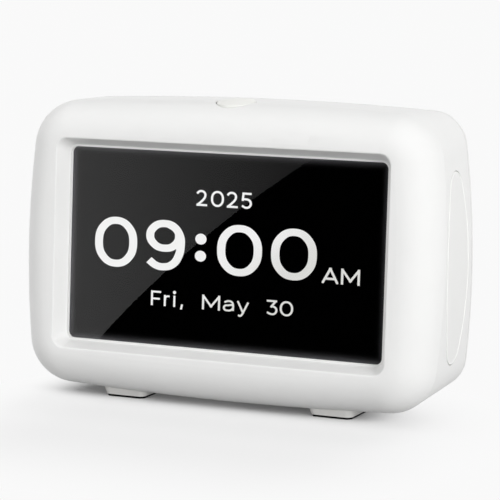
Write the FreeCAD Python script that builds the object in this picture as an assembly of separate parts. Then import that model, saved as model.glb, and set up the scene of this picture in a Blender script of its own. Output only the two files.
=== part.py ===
import FreeCAD, Part
import math
import os

from FreeCAD import Placement, Rotation, Vector

# Dementia day clock: a free-standing table clock with a wide screen in a pillow-shaped white case.
#
# Lengths are in millimetres. +X points to the viewer's right. Four sets of axes are used:
#   clock axes   +Y to the rear, +Z up, z = 0 on the table
#   middle axes  the same directions, origin in the middle of the window
#   face axes    origin in the middle of the window, +Y square into the screen, leaning with it
#   back axes    origin on the rear wall, +Y square out of it, nearly upright
# The finished clock is moved so that its origin is the centre of its base.

# ---- Case -----------------------------------------------------------------------------------
SIDE_MARGIN = 24.7       # window's edge to the case's side
TOP_MARGIN = 23.2        # window's edge to the case's top
BOTTOM_MARGIN = 23.95    # window's edge to the case's bottom
STAND_HEIGHT = 2.95      # the case's bottom line above the table
CORNER_RADIUS = 22.2
SIDE_BOW_RISE = 5.4      # how far each side bows out from the corners' level
TOP_BOW_RISE = 3.26      # how far the top and bottom bow out
FRONT_ROUND = 16.6       # the pillow edge round the front
FRONT_RUN = 0.1          # straight run left behind the pillow edge
FRONT_DRAFT = 10.0       # degrees, the pillow's walls open out towards the crease
CASE_DEPTH = 62.0        # front rim to rear wall, through the window's middle
REAR_INSET = 2.3         # how far the sides draw in by the parting line
REAR_RISE = 4.3          # how far the section has climbed by the parting line
REAR_TIGHTER = 3.6       # how much smaller its corner radius has become there
BACK_ROUND = 6.0
WALL = 2.4
CHAMFER_SHARE = 0.59     # inner chamfer that keeps the wall even behind a round edge
FACE_LEAN = 4.15         # degrees, top of the face to the rear
BACK_LEAN = 1.55         # degrees, top of the rear wall to the front

# ---- Window and display ---------------------------------------------------------------------
WINDOW_WIDTH = 156.0
WINDOW_TALL = 88.2
WINDOW_CORNER = 3.0
RECESS = 8.8             # front rim to the lens
LIP_THICKNESS = 1.0
LIP_WIDTH = 0.9
REVEAL_SPREAD = 3.1      # how far the reveal opens out on its way to the front
REVEAL_EDGE = 0.8
TUNNEL_WALL = 1.8
TUNNEL_SPREAD = 1.6
LENS_OVERLAP = 2.6       # lens hidden behind the lip, each side
LENS_THICKNESS = 1.8
LENS_CORNER = 1.0
LENS_CLEARANCE = 0.15
GASKET_THICKNESS = 0.4
GASKET_WIDTH = 2.2
PANEL_THICKNESS = 2.4
PANEL_SHORT = 0.4        # panel and tray smaller than the lens, each side
TRAY_DEPTH = 3.2
TRAY_SKIN = 0.8
GUIDE_CLEARANCE = 0.1
POCKET_SHORT = 0.8       # pocket walls end this far before the tray's back
BRACKET_THICKNESS = 1.0
BRACKET_INSET = (13.2, 4.2)  # bracket smaller than the panel, each side
BRACKET_BAND = 13.0
BRACKET_CORNER = 5.0
BRACKET_EAR_WIDTH = 9.0
BRACKET_POST_INSET = 22.5  # post centre inside the tunnel's end
BRACKET_POST_REACH = 6.4   # post centre beyond the tunnel wall
BRACKET_POST_RADIUS = 3.2

# ---- Ribs (face axes) -----------------------------------------------------------------------
RIB_THICKNESS = 1.4
RIB_END = 5.0
RIB_INSET_X = 28.0       # ribs inside the window's ends
RIB_INSET_Z = 20.0       # ribs inside the window's top and bottom

# ---- Parting line and case screws -----------------------------------------------------------
SEAM_DEPTH = 6.6         # rear wall to the parting line
SEAM_GAP = 0.3
LIP_REACH = 2.5
LIP_WALL = 1.4
LIP_BASE = 1.6
LIP_CLEARANCE = 0.15
CASE_SCREW_INSET = 16.5  # screw inside the case's sides, top and bottom
WELL_DEPTH = 16.0
WELL_RADIUS = 4.4
WELL_BORE_RADIUS = 3.4
WELL_FLOOR = 2.0
CASE_BOSS_RADIUS = 4.0
BOSS_CLEARANCE = 0.1
BOSS_ROOT = 0.9          # bosses end this far under the outer surface

# ---- Screws ---------------------------------------------------------------------------------
CASE_SCREW = {"head": 2.8, "height": 2.0, "shank": 1.45, "length": 12.0}
SMALL_SCREW = {"head": 2.0, "height": 1.4, "shank": 1.0, "length": 6.0}
SHORT_SCREW = {"head": 2.0, "height": 1.4, "shank": 1.0, "length": 4.0}
THREAD_CLEARANCE = 0.05
HOLE_CLEARANCE = 0.3
PILOT_SPARE = 1.0        # pilot hole deeper than the screw

# ---- Snooze button (middle axes) ------------------------------------------------------------
SNOOZE_Y = 12.8
SNOOZE_RADIUS = 8.8
SNOOZE_GAP = 0.4
SNOOZE_PROUD = 1.3
SNOOZE_DOME = 1.1
SNOOZE_EDGE = 0.5
SNOOZE_SKIN = 1.6
COLLAR_WALL = 2.0
COLLAR_DEPTH = 5.3       # case top to the collar's lower end
FLANGE_THICKNESS = 1.2
FLANGE_REACH = 1.4
FLANGE_GAP = 0.3
FLANGE_RELIEF = 0.5
SNOOZE_STEM_RADIUS = 2.6
SNOOZE_BOARD_DROP = 14.6  # case top to the small board's upper face
SNOOZE_BOARD_SIZE = (36.0, 12.0)
SNOOZE_POST_X = 14.8
SNOOZE_POST_RADIUS = 2.6

# ---- Tact switches --------------------------------------------------------------------------
SWITCH_SIDE = 6.2
SWITCH_HEIGHT = 3.6
PLUNGER_RADIUS = 1.6
PLUNGER_PROUD = 1.5
PLUNGER_SUNK = 1.2
PLUNGER_GAP = 0.3

# ---- Side panels (middle axes) --------------------------------------------------------------
OVAL_WIDTH = 31.4
OVAL_MARGIN = 24.6       # oval shorter than the case, at each end
OVAL_END_RADIUS = 9.5
OVAL_Y = 26.0
OVAL_Z = -4.2
TRIM_SKIN = 1.6
TRIM_GAP = 0.25
TRIM_BACK_GAP = 0.2
TRIM_BACKING = 2.2
TRIM_MARGIN = 1.2
TRIM_EDGE = 0.45
TRIM_PEG_INSET = 17.2    # pegs inside the oval's ends
TRIM_PEG_REACH = 1.4

# ---- Feet (middle axes) ---------------------------------------------------------------------
FOOT_INSET = 51.1        # foot's middle inside the case's side
FOOT_FRONT = 0.8
FOOT_REAR_INSET = 7.7    # foot's rear end inside the rear wall
FOOT_WIDTH = 20.0
FOOT_DRAFT = 22.0        # degrees
FOOT_CORNER = 3.0
PAD_THICKNESS = 1.4
PAD_SUNK = 0.4
PAD_INSET = 0.5
PAD_CLEARANCE = 0.1
PEG_RADIUS = 1.5
PEG_CLEARANCE = 0.1
PEG_INSET = 9.0
PEG_REACH = 6.8          # peg's end above the case's bottom line

# ---- Speaker (middle axes) ------------------------------------------------------------------
SPEAKER_INSET = 31.9     # speaker's middle beside the right foot's
SLOT_COUNT = 6
SLOT_PITCH = 4.9
SLOT_WIDTH = 3.4
SLOT_LENGTH = 21.0
SLOT_FRONT = 1.6
SPEAKER_WIDTH = 40.0
SPEAKER_DEEP = 27.0
SPEAKER_CORNER = 4.0
SEAT_RISE = 5.8          # speaker seat above the case's bottom line
SEAT_WALL = 1.6
SPEAKER_GASKET = 0.8
SPEAKER_PLATE = 1.0
CONE_RADIUS = 11.5
CONE_NECK = 4.5
CONE_DEPTH = 4.0
CONE_SKIN = 0.6
BASKET_GAP = 0.5
BASKET_SKIN = 0.8
MAGNET_RADIUS = 9.0
MAGNET_HEIGHT = 4.0
EAR_RADIUS = 3.0
EAR_REACH = 3.2          # screw centre beyond the speaker plate

# ---- Main board and rear controls (back axes) -----------------------------------------------
BOARD_WIDTH = 120.0
BOARD_TALL = 68.0
BOARD_Z = 4.0
BOARD_CORNER = 2.0
BOARD_THICKNESS = 1.6
BOARD_DEPTH = 12.0       # rear wall's outside to the board's rear face
BOARD_POST_RADIUS = 3.2
BOARD_POST_INSET = 5.0
BUTTON_NAMES = ("set", "up", "down", "back")
BUTTON_RADIUS = 3.6
BUTTON_GAP = 0.4
BUTTON_PITCH = 14.0
BUTTON_INSET = 10.0      # buttons below the board's top edge
BUTTON_PROUD = 1.0
BUTTON_EDGE = 0.4
BUTTON_FLANGE_THICKNESS = 1.0
BUTTON_FLANGE_REACH = 1.0
BUTTON_STEM_RADIUS = 2.2
USB_INSET = 10.0         # inlet above the board's bottom edge
USB_WIDTH = 8.94
USB_TALL = 3.2
USB_SKIN = 0.35
USB_SET_BACK = 0.9       # socket mouth inside the rear wall's outside
USB_CLEARANCE = 0.3
USB_TONGUE = (6.7, 0.7)
USB_TONGUE_SHORT = 0.8
USB_PLUG = 1.2
USB_RECESS = (14.0, 8.0)
USB_RECESS_DEPTH = 0.8
VENT_COUNT = 13
VENT_PITCH = 5.0
VENT_WIDTH = 2.0
VENT_TALL = 11.0
VENT_DROP = 21.2         # vents below the case's top
CELL_RADIUS = 10.0
CELL_THICKNESS = 3.2
CELL_SPOT = (-36.0, 2.0)
HOLDER_WALL = 1.4
HOLDER_FLOOR = 0.6
HOLDER_CLEARANCE = 0.1
PROCESSOR = {"spot": (-6.0, 16.0), "size": (14.0, 14.0, 1.4)}
MEMORY = {"spot": (-6.0, -6.0), "size": (10.0, 12.0, 1.0)}
COIL = {"spot": (42.0, -20.0), "size": (7.0, 7.0, 3.2)}
CAPACITOR = {"spots": ((46.0, 12.0), (46.0, 20.0)), "radius": 3.2, "height": 6.0}
RIBBON_X = 22.0
RIBBON_WIDTH = 20.0
RIBBON_THICKNESS = 0.3
RIBBON_BEND = 3.0
RIBBON_HEIGHT = 4.0      # middle axes, where it crosses from screen to board
RIBBON_FLAT = 20.0       # length that lies on the tray
CONNECTOR = {"z": -8.0, "size": (24.0, 5.0, 2.0)}

# ---- Placements and sizes that follow -------------------------------------------------------
FACE_WIDTH = WINDOW_WIDTH + 2 * SIDE_MARGIN
FACE_HEIGHT = WINDOW_TALL + TOP_MARGIN + BOTTOM_MARGIN
FACE_DROP = (BOTTOM_MARGIN - TOP_MARGIN) / 2
SIDE_BOW_RADIUS = (FACE_HEIGHT ** 2 / 4 + SIDE_BOW_RISE ** 2) / (2 * SIDE_BOW_RISE)
TOP_BOW_RADIUS = (FACE_WIDTH ** 2 / 4 + TOP_BOW_RISE ** 2) / (2 * TOP_BOW_RISE)
CASE_BOTTOM = -FACE_HEIGHT / 2 - FACE_DROP
WINDOW_HEIGHT = STAND_HEIGHT - CASE_BOTTOM
CREASE = -RECESS + FRONT_ROUND + FRONT_RUN
MIDDLE = Placement(Vector(0, 0, WINDOW_HEIGHT), Rotation())
FACE = Placement(Vector(0, 0, WINDOW_HEIGHT), Rotation(Vector(1, 0, 0), -FACE_LEAN))
BACK = Placement(FACE.multVec(Vector(0, CASE_DEPTH - RECESS, 0)), Rotation(Vector(1, 0, 0), BACK_LEAN))
FAR = 400.0

LENS_WIDTH = WINDOW_WIDTH + 2 * LENS_OVERLAP
LENS_TALL = WINDOW_TALL + 2 * LENS_OVERLAP
PANEL_WIDTH = LENS_WIDTH - 2 * PANEL_SHORT
PANEL_TALL = LENS_TALL - 2 * PANEL_SHORT
GASKET_Y = LENS_THICKNESS
PANEL_Y = GASKET_Y + GASKET_THICKNESS
TRAY_Y = PANEL_Y + PANEL_THICKNESS
TRAY_BACK = TRAY_Y + TRAY_DEPTH
POCKET_END = TRAY_BACK - POCKET_SHORT
POCKET_WIDTH = LENS_WIDTH + 2 * LENS_CLEARANCE
POCKET_TALL = LENS_TALL + 2 * LENS_CLEARANCE
POCKET_CORNER = LENS_CORNER + LENS_CLEARANCE
TUNNEL_WIDTH = POCKET_WIDTH + 2 * TUNNEL_WALL
TUNNEL_TALL = POCKET_TALL + 2 * TUNNEL_WALL
TUNNEL_CORNER = POCKET_CORNER + TUNNEL_WALL
BRACKET_POST_X = TUNNEL_WIDTH / 2 - BRACKET_POST_INSET
BRACKET_POST_Z = TUNNEL_TALL / 2 + BRACKET_POST_REACH
BRACKET_OUTER = (PANEL_WIDTH - 2 * BRACKET_INSET[0], PANEL_TALL - 2 * BRACKET_INSET[1])
REAR_MIDDLE = REAR_RISE - FACE_DROP
CASE_SCREW_X = FACE_WIDTH / 2 - CASE_SCREW_INSET
CASE_SCREW_HEIGHTS = [REAR_MIDDLE + side * (FACE_HEIGHT / 2 - CASE_SCREW_INSET) for side in (1, -1)]
OVAL_TALL = FACE_HEIGHT - 2 * OVAL_MARGIN
TRIM_PEG_OFFSET = OVAL_TALL / 2 - TRIM_PEG_INSET
FOOT_X = FACE_WIDTH / 2 - FOOT_INSET
FOOT_LENGTH = CASE_DEPTH - RECESS - FOOT_REAR_INSET - FOOT_FRONT
PEG_TOP = STAND_HEIGHT + PEG_REACH
SEAT_Z = CASE_BOTTOM + SEAT_RISE
BUTTON_Z = BOARD_Z + BOARD_TALL / 2 - BUTTON_INSET
USB_Z = BOARD_Z - BOARD_TALL / 2 + USB_INSET
VENT_Z = REAR_MIDDLE + FACE_HEIGHT / 2 - VENT_DROP
BOARD_FRONT = -BOARD_DEPTH - BOARD_THICKNESS
SWITCH_TOP = -BOARD_DEPTH + SWITCH_HEIGHT
SPEAKER_X = FOOT_X - SPEAKER_INSET
SPEAKER_Y = SLOT_FRONT + SLOT_LENGTH / 2
PLATE_Z = SEAT_Z + SPEAKER_GASKET


# ---- Basic shapes ---------------------------------------------------------------------------

def placed(shape, placement):
    """Carry a shape from its own axes into clock axes."""
    moved = shape.copy()
    moved.Placement = placement.multiply(moved.Placement)
    return moved


def fused(first, *others):
    """Join solids into one clean solid."""
    return first.fuse(list(others)).removeSplitter()


def box(width, depth, height, x=0.0, y=0.0, z=0.0):
    """Box centred on x and z that starts at y."""
    return Part.makeBox(width, depth, height, Vector(x - width / 2, y, z - height / 2))


def rod(radius, y0, y1, x=0.0, z=0.0):
    """Cylinder along Y from y0 to y1."""
    return Part.makeCylinder(radius, y1 - y0, Vector(x, y0, z), Vector(0, 1, 0))


def post(radius, z0, z1, x=0.0, y=0.0):
    """Cylinder along Z from z0 to z1."""
    return Part.makeCylinder(radius, z1 - z0, Vector(x, y, z0))


def arc(start, middle, end):
    return Part.Arc(start, middle, end).toShape()


def rounded_rectangle(width, height, radius, y=0.0, x=0.0, z=0.0):
    """Closed wire with round corners in the XZ plane."""
    radius = min(radius, width / 2 - 0.01, height / 2 - 0.01)
    right, top = width / 2 - radius, height / 2 - radius
    centres = [(right, top), (-right, top), (-right, -top), (right, -top)]

    def rim(centre, degrees):
        angle = math.radians(degrees)
        return Vector(x + centre[0] + radius * math.cos(angle), y, z + centre[1] + radius * math.sin(angle))

    edges = []
    for step, centre in enumerate(centres):
        start = 90 * step
        following = centres[(step + 1) % 4]
        edges.append(arc(rim(centre, start), rim(centre, start + 45), rim(centre, start + 90)))
        edges.append(Part.makeLine(rim(centre, start + 90), rim(following, start + 90)))
    return Part.Wire(edges)


def plate(width, height, radius, y0, y1, x=0.0, z=0.0):
    """Round-cornered plate in the XZ plane, from y0 to y1."""
    outline = rounded_rectangle(width, height, radius, y0, x, z)
    return Part.Face(outline).extrude(Vector(0, y1 - y0, 0))


def standing(shape):
    """Turn a shape made along Y so that its Y runs up and its Z runs to the front."""
    turned = shape.copy()
    turned.Placement = Placement(Vector(), Rotation(Vector(1, 0, 0), 90)).multiply(turned.Placement)
    return turned


def flared(size0, radius0, y0, size1, radius1, y1):
    """Straight-sided funnel between two round-cornered rectangles, each (width, height)."""
    wires = [rounded_rectangle(*size0, radius0, y0), rounded_rectangle(*size1, radius1, y1)]
    return Part.makeLoft(wires, True, True)


def turned_on_z(points):
    """Solid of revolution about Z from (radius, z) points."""
    outline = Part.makePolygon([Vector(r, 0, z) for r, z in points + [points[0]]])
    return Part.Face(outline).revolve(Vector(), Vector(0, 0, 1), 360)


def on_plane(edge, y):
    """True when an edge lies in the plane Y = y."""
    first, last = edge.ParameterRange
    return all(abs(edge.valueAt(first + (last - first) * k / 4).y - y) < 1e-4 for k in range(5))


# ---- Screws ---------------------------------------------------------------------------------

def aimed(shape, seat, axis):
    """Move a shape made along Z to a seat, with its Z along the axis."""
    moved = shape.copy()
    moved.Placement = Placement(seat, Rotation(Vector(0, 0, 1), axis)).multiply(moved.Placement)
    return moved


def screw(size, seat, axis):
    """Screw whose head stands on the seat towards the axis; its shank goes the other way."""
    head = post(size["head"], 0, size["height"])
    shank = post(size["shank"], -size["length"], 0)
    return aimed(fused(head, shank), seat, axis)


def pilot(size, seat, axis):
    """Hole that the screw's shank threads into."""
    hole = post(size["shank"] + THREAD_CLEARANCE, -size["length"] - PILOT_SPARE, 1)
    return aimed(hole, seat, axis)


def clearance_hole(size, seat, axis, depth):
    """Hole that the screw's shank passes through, from above the seat down to depth."""
    return aimed(post(size["shank"] + HOLE_CLEARANCE, -depth, 1), seat, axis)


# ---- Case form ------------------------------------------------------------------------------

def case_outline(inset, y, rise=0.0, tighter=0.0):
    """The case's section: eight tangent arcs, drawn in by inset and lifted by rise."""
    half_width = FACE_WIDTH / 2 - inset
    half_height = FACE_HEIGHT / 2 - inset
    corner = CORNER_RADIUS - tighter - inset
    side = SIDE_BOW_RADIUS - inset
    top = TOP_BOW_RADIUS - inset
    # The corner arc touches a side arc and a top arc from inside, so its centre is at known
    # distances from theirs.
    side_centre = half_width - side
    top_centre = half_height - top
    side_gap = side - corner
    top_gap = top - corner
    span = math.hypot(side_centre, top_centre)
    along = (side_gap ** 2 - top_gap ** 2 + span ** 2) / (2 * span)
    aside = math.sqrt(side_gap ** 2 - along ** 2)
    across, down = -side_centre / span, top_centre / span
    corner_x = side_centre + along * across - aside * down
    corner_z = along * down + aside * across
    side_angle = math.atan2(corner_z, corner_x - side_centre)
    top_angle = math.atan2(corner_z - top_centre, corner_x)

    def mirrored(x, z, sign_x, sign_z):
        return Vector(sign_x * x, y, sign_z * z - FACE_DROP + rise)

    def on_corner(angle, sign_x, sign_z):
        return mirrored(corner_x + corner * math.cos(angle), corner_z + corner * math.sin(angle),
                        sign_x, sign_z)

    edges = []
    for sign_x, sign_z in ((1, 1), (-1, 1), (-1, -1), (1, -1)):
        edges.append(arc(on_corner(side_angle, sign_x, sign_z),
                         on_corner((side_angle + top_angle) / 2, sign_x, sign_z),
                         on_corner(top_angle, sign_x, sign_z)))
    for sign in (1, -1):
        edges.append(arc(on_corner(side_angle, sign, 1), mirrored(half_width, 0, sign, 1),
                         on_corner(side_angle, sign, -1)))
        edges.append(arc(on_corner(top_angle, 1, sign), mirrored(0, half_height, 1, sign),
                         on_corner(top_angle, -1, sign)))
    return Part.Wire(Part.__sortEdges__(edges))


def rear_outline(inset, y):
    """The case's section at and behind the parting line."""
    return case_outline(REAR_INSET + inset, y, REAR_RISE, REAR_TIGHTER)


def end_edges(solid, y):
    """The edges round a solid's end face in the plane Y = y."""
    return [edge for edge in solid.Edges if on_plane(edge, y)]


def sides(inset):
    """The case between the crease behind the pillow edge and the parting line."""
    crease = placed(case_outline(inset, CREASE), FACE)
    seam = placed(rear_outline(inset, -SEAM_DEPTH), BACK)
    return Part.makeLoft([crease, seam], True, True)


def front_form(inset=0.0):
    """Outer form from the front rim to the parting line, drawn in all round by inset."""
    start = -RECESS + inset
    draw = (CREASE - start) * math.tan(math.radians(FRONT_DRAFT))
    pillow = Part.makeLoft([case_outline(inset + draw, start), case_outline(inset, CREASE)], True, True)
    pillow = placed(pillow.makeFillet(FRONT_ROUND - inset, end_edges(pillow, start)), FACE)
    return fused(pillow, sides(inset))


def rear_form():
    """Outer form of the rear cover."""
    start = -SEAM_DEPTH + SEAM_GAP
    cap = Part.Face(rear_outline(0, start)).extrude(Vector(0, -start, 0))
    return placed(cap.makeFillet(BACK_ROUND, end_edges(cap, 0)), BACK)


def cavity():
    """The hollow inside the case's walls. Inside, the pillow edge is two straight chamfers."""
    radius = FRONT_ROUND - WALL
    rings = []
    for degrees in (90, 45, 0):
        angle = math.radians(degrees)
        rings.append(case_outline(WALL + radius * (1 - math.cos(angle)), CREASE - radius * math.sin(angle)))
    pillow = placed(Part.makeLoft(rings, True, True), FACE)
    cap = Part.Face(rear_outline(WALL, -SEAM_DEPTH))
    cap = cap.extrude(Vector(0, SEAM_DEPTH - WALL, 0))
    cap = placed(cap.makeChamfer(CHAMFER_SHARE * (BACK_ROUND - WALL), end_edges(cap, -WALL)), BACK)
    return fused(pillow, sides(WALL), cap)


def case_top(y):
    """Height of the case's top, in middle axes, on the centre line at a given y behind the crease."""
    front = FACE.multVec(Vector(0, CREASE, FACE_HEIGHT / 2 - FACE_DROP))
    rear = BACK.multVec(Vector(0, -SEAM_DEPTH, FACE_HEIGHT / 2 - REAR_INSET - FACE_DROP + REAR_RISE))
    share = (y - front.y) / (rear.y - front.y)
    return front.z + share * (rear.z - front.z) - WINDOW_HEIGHT


OUTER = front_form()
ROOTS = front_form(BOSS_ROOT)
HOLLOW = cavity()
TOP = case_top(SNOOZE_Y)
COLLAR_END = TOP - COLLAR_DEPTH
SNOOZE_BOARD_Z = TOP - SNOOZE_BOARD_DROP
SNOOZE_SWITCH_TOP = SNOOZE_BOARD_Z + SWITCH_HEIGHT
UP = Vector(0, 0, 1)
DOWN = Vector(0, 0, -1)
REARWARD = Vector(0, 1, 0)
FORWARD = Vector(0, -1, 0)


def rooted(shape):
    """Trim a boss or rib so that it ends inside the case wall and never shows outside."""
    return shape.common(ROOTS)


# ---- Screw places ---------------------------------------------------------------------------

def case_screw_seats():
    """Where the case screws' heads sit, in back axes."""
    return [Vector(side * CASE_SCREW_X, -WELL_DEPTH + WELL_FLOOR, height)
            for side in (-1, 1) for height in CASE_SCREW_HEIGHTS]


def bracket_screw_seats():
    """Where the bracket screws' heads sit, in face axes."""
    return [Vector(side * BRACKET_POST_X, TRAY_BACK + BRACKET_THICKNESS, level * BRACKET_POST_Z)
            for side in (-1, 1) for level in (-1, 1)]


def board_screw_seats():
    """Where the main board's screws sit, in back axes."""
    reach_x = BOARD_WIDTH / 2 - BOARD_POST_INSET
    reach_z = BOARD_TALL / 2 - BOARD_POST_INSET
    return [Vector(side * reach_x, BOARD_FRONT, BOARD_Z + level * reach_z)
            for side in (-1, 1) for level in (-1, 1)]


def snooze_screw_seats():
    """Under the small board, in middle axes."""
    return [Vector(side * SNOOZE_POST_X, SNOOZE_Y, SNOOZE_BOARD_Z - BOARD_THICKNESS) for side in (-1, 1)]


def speaker_screw_seats():
    """On top of the speaker's ears, in middle axes."""
    reach = SPEAKER_WIDTH / 2 + EAR_REACH
    return [Vector(SPEAKER_X + side * reach, SPEAKER_Y, PLATE_Z + SPEAKER_PLATE) for side in (-1, 1)]


# ---- Oval trim panels -----------------------------------------------------------------------

def oval_block(grow, x0, x1):
    """Prism along X with an outline of four tangent arcs, grown all round."""
    half = OVAL_WIDTH / 2
    end_z = OVAL_TALL / 2 - OVAL_END_RADIUS
    flank = (half ** 2 + end_z ** 2 - OVAL_END_RADIUS ** 2) / (2 * (half - OVAL_END_RADIUS))
    flank_y = half - flank
    angle = math.atan2(end_z, -flank_y)
    end = OVAL_END_RADIUS + grow

    def spot(y, z):
        return Vector(x0, OVAL_Y + y, OVAL_Z + z)

    def on_end(turn, side, level):
        return spot(side * end * math.cos(turn), level * (end_z + end * math.sin(turn)))

    edges = []
    for side in (1, -1):
        edges.append(arc(on_end(angle, side, 1), spot(side * (half + grow), 0), on_end(angle, side, -1)))
    for level in (1, -1):
        edges.append(arc(on_end(angle, 1, level), spot(0, level * (end_z + end)), on_end(angle, -1, level)))
    outline = Part.Wire(Part.__sortEdges__(edges))
    return placed(Part.Face(outline).extrude(Vector(x1 - x0, 0, 0)), MIDDLE)


def side_span(side, grow):
    """The oval's prism through one side wall, from well inside to well outside."""
    inside = FACE_WIDTH / 2 - FRONT_ROUND
    outside = FACE_WIDTH / 2 + FRONT_ROUND
    return oval_block(grow, side * inside, side * outside)


def trim_pegs(side, radius):
    """Two pegs that hold a side panel, from its back through the backing."""
    pegs = []
    for level in (-1, 1):
        inner = FACE_WIDTH / 2 - REAR_INSET - TRIM_SKIN - TRIM_BACK_GAP - TRIM_BACKING - TRIM_PEG_REACH
        start = Vector(side * inner, OVAL_Y, OVAL_Z + level * TRIM_PEG_OFFSET)
        pegs.append(placed(Part.makeCylinder(radius, FRONT_ROUND, start, Vector(side, 0, 0)), MIDDLE))
    return pegs


def outer_rim(skin, side):
    """The edges where the panel's outer face meets its walls."""
    rim = []
    for face in skin.Faces:
        u0, u1, v0, v1 = face.ParameterRange
        is_wall = abs(face.normalAt((u0 + u1) / 2, (v0 + v1) / 2).x) < 1e-6
        for edge in face.Edges:
            along_x = abs(edge.tangentAt(edge.FirstParameter).x) > 0.99
            outside = side * (edge.CenterOfMass.x - face.CenterOfMass.x) > 0
            if is_wall and outside and not along_x:
                rim.append(edge)
    return rim


def side_panel(side):
    """Oval panel that lies flush in the side wall and follows its curve."""
    skin = side_span(side, 0).common(sides(0)).cut(sides(TRIM_SKIN))
    skin = skin.makeChamfer(TRIM_EDGE, outer_rim(skin, side))
    pegs = [peg.common(sides(TRIM_SKIN / 2)) for peg in trim_pegs(side, PEG_RADIUS)]
    return fused(skin, *pegs)


# ---- Case shells ----------------------------------------------------------------------------

def screen_tunnel():
    """Walls that run back from the front rim and hold the display stack."""
    start = -RECESS + WALL / 2
    front = (TUNNEL_WIDTH + 2 * TUNNEL_SPREAD, TUNNEL_TALL + 2 * TUNNEL_SPREAD)
    back = (TUNNEL_WIDTH, TUNNEL_TALL)
    funnel = flared(front, TUNNEL_CORNER + TUNNEL_SPREAD, start, back, TUNNEL_CORNER, 0)
    return fused(funnel, plate(TUNNEL_WIDTH, TUNNEL_TALL, TUNNEL_CORNER, 0, POCKET_END))


def screen_cut():
    """The reveal, the window in the lip and the pocket behind it."""
    lip_edge = (WINDOW_WIDTH + 2 * LIP_WIDTH, WINDOW_TALL + 2 * LIP_WIDTH)
    mouth = (lip_edge[0] + 2 * REVEAL_SPREAD, lip_edge[1] + 2 * REVEAL_SPREAD)
    corner = WINDOW_CORNER + LIP_WIDTH
    reveal = flared(mouth, corner + REVEAL_SPREAD / 2, -RECESS, lip_edge, corner, -LIP_THICKNESS)
    window = plate(WINDOW_WIDTH, WINDOW_TALL, WINDOW_CORNER, -RECESS, WALL)
    pocket = plate(POCKET_WIDTH, POCKET_TALL, POCKET_CORNER, 0, CASE_DEPTH / 2)
    return fused(reveal, window, pocket)


def tunnel_ribs():
    """Ribs that tie the screen tunnel to the case walls."""
    ribs = []
    spot_x, spot_z = WINDOW_WIDTH / 2 - RIB_INSET_X, WINDOW_TALL / 2 - RIB_INSET_Z
    reach_x, reach_z = (TUNNEL_WIDTH + FRONT_ROUND) / 2, (TUNNEL_TALL + FRONT_ROUND) / 2
    depth = RIB_END + RECESS
    for side in (-1, 1):
        for level in (-1, 1):
            ribs.append(box(RIB_THICKNESS, depth, FRONT_ROUND, side * spot_x, -RECESS, level * reach_z))
            ribs.append(box(FRONT_ROUND, depth, RIB_THICKNESS, side * reach_x, -RECESS, level * spot_z))
    return [rooted(placed(rib, FACE)) for rib in ribs]


def speaker_slots():
    """Slots through the case's floor that let the speaker sound out."""
    slots = []
    for step in range(SLOT_COUNT):
        x = SPEAKER_X + (step - (SLOT_COUNT - 1) / 2) * SLOT_PITCH
        slot = standing(plate(SLOT_WIDTH, SLOT_LENGTH, SLOT_WIDTH / 2, 0, FRONT_ROUND))
        slot.translate(Vector(x, SPEAKER_Y, SEAT_Z - FRONT_ROUND))
        slots.append(placed(slot, MIDDLE))
    return slots


def speaker_seat():
    """Rectangular wall on the case's floor under the speaker, with a post under each ear."""
    seat = standing(plate(SPEAKER_WIDTH, SPEAKER_DEEP, SPEAKER_CORNER, 0, FRONT_ROUND))
    bore = standing(plate(SPEAKER_WIDTH - 2 * SEAT_WALL, SPEAKER_DEEP - 2 * SEAT_WALL,
                          SPEAKER_CORNER - SEAT_WALL, 0, FRONT_ROUND))
    wall = seat.cut(bore)
    wall.translate(Vector(SPEAKER_X, SPEAKER_Y, SEAT_Z - FRONT_ROUND))
    posts = [post(SNOOZE_POST_RADIUS, PLATE_Z - FRONT_ROUND, PLATE_Z, seat.x, seat.y)
             for seat in speaker_screw_seats()]
    return [rooted(placed(piece, MIDDLE)) for piece in [wall] + posts]


def snooze_mount():
    """Guide collar under the case's top and the posts that carry the small board."""
    collar = post(SNOOZE_RADIUS + SNOOZE_GAP + COLLAR_WALL, COLLAR_END, TOP + WALL, 0, SNOOZE_Y)
    posts = [post(SNOOZE_POST_RADIUS, SNOOZE_BOARD_Z, TOP + WALL, seat.x, seat.y)
             for seat in snooze_screw_seats()]
    return [rooted(placed(piece, MIDDLE)) for piece in [collar] + posts]


def snooze_bore():
    """Bore for the button, and room for its flange below the collar."""
    bore = post(SNOOZE_RADIUS + SNOOZE_GAP, SNOOZE_SWITCH_TOP, TOP + WALL, 0, SNOOZE_Y)
    relief = post(SNOOZE_RADIUS + FLANGE_REACH + FLANGE_RELIEF, SNOOZE_SWITCH_TOP, COLLAR_END, 0, SNOOZE_Y)
    return placed(fused(bore, relief), MIDDLE)


def bracket_posts():
    posts = [rod(BRACKET_POST_RADIUS, -RECESS, TRAY_BACK, seat.x, seat.z) for seat in bracket_screw_seats()]
    return [rooted(placed(piece, FACE)) for piece in posts]


def case_bosses():
    """Long bosses for the case screws, from the front wall to the rear cover's wells."""
    end = -WELL_DEPTH - BOSS_CLEARANCE
    bosses = [rod(CASE_BOSS_RADIUS, -FAR / 2, end, seat.x, seat.z) for seat in case_screw_seats()]
    return [rooted(placed(boss, BACK)) for boss in bosses]


def foot_pegs(side, radius):
    """Two pegs that pass from a foot through the case's floor."""
    pegs = []
    for y in (FOOT_FRONT + PEG_INSET, FOOT_FRONT + FOOT_LENGTH - PEG_INSET):
        pegs.append(post(radius, PAD_THICKNESS + PAD_SUNK, PEG_TOP, side * FOOT_X, y))
    return pegs


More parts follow.
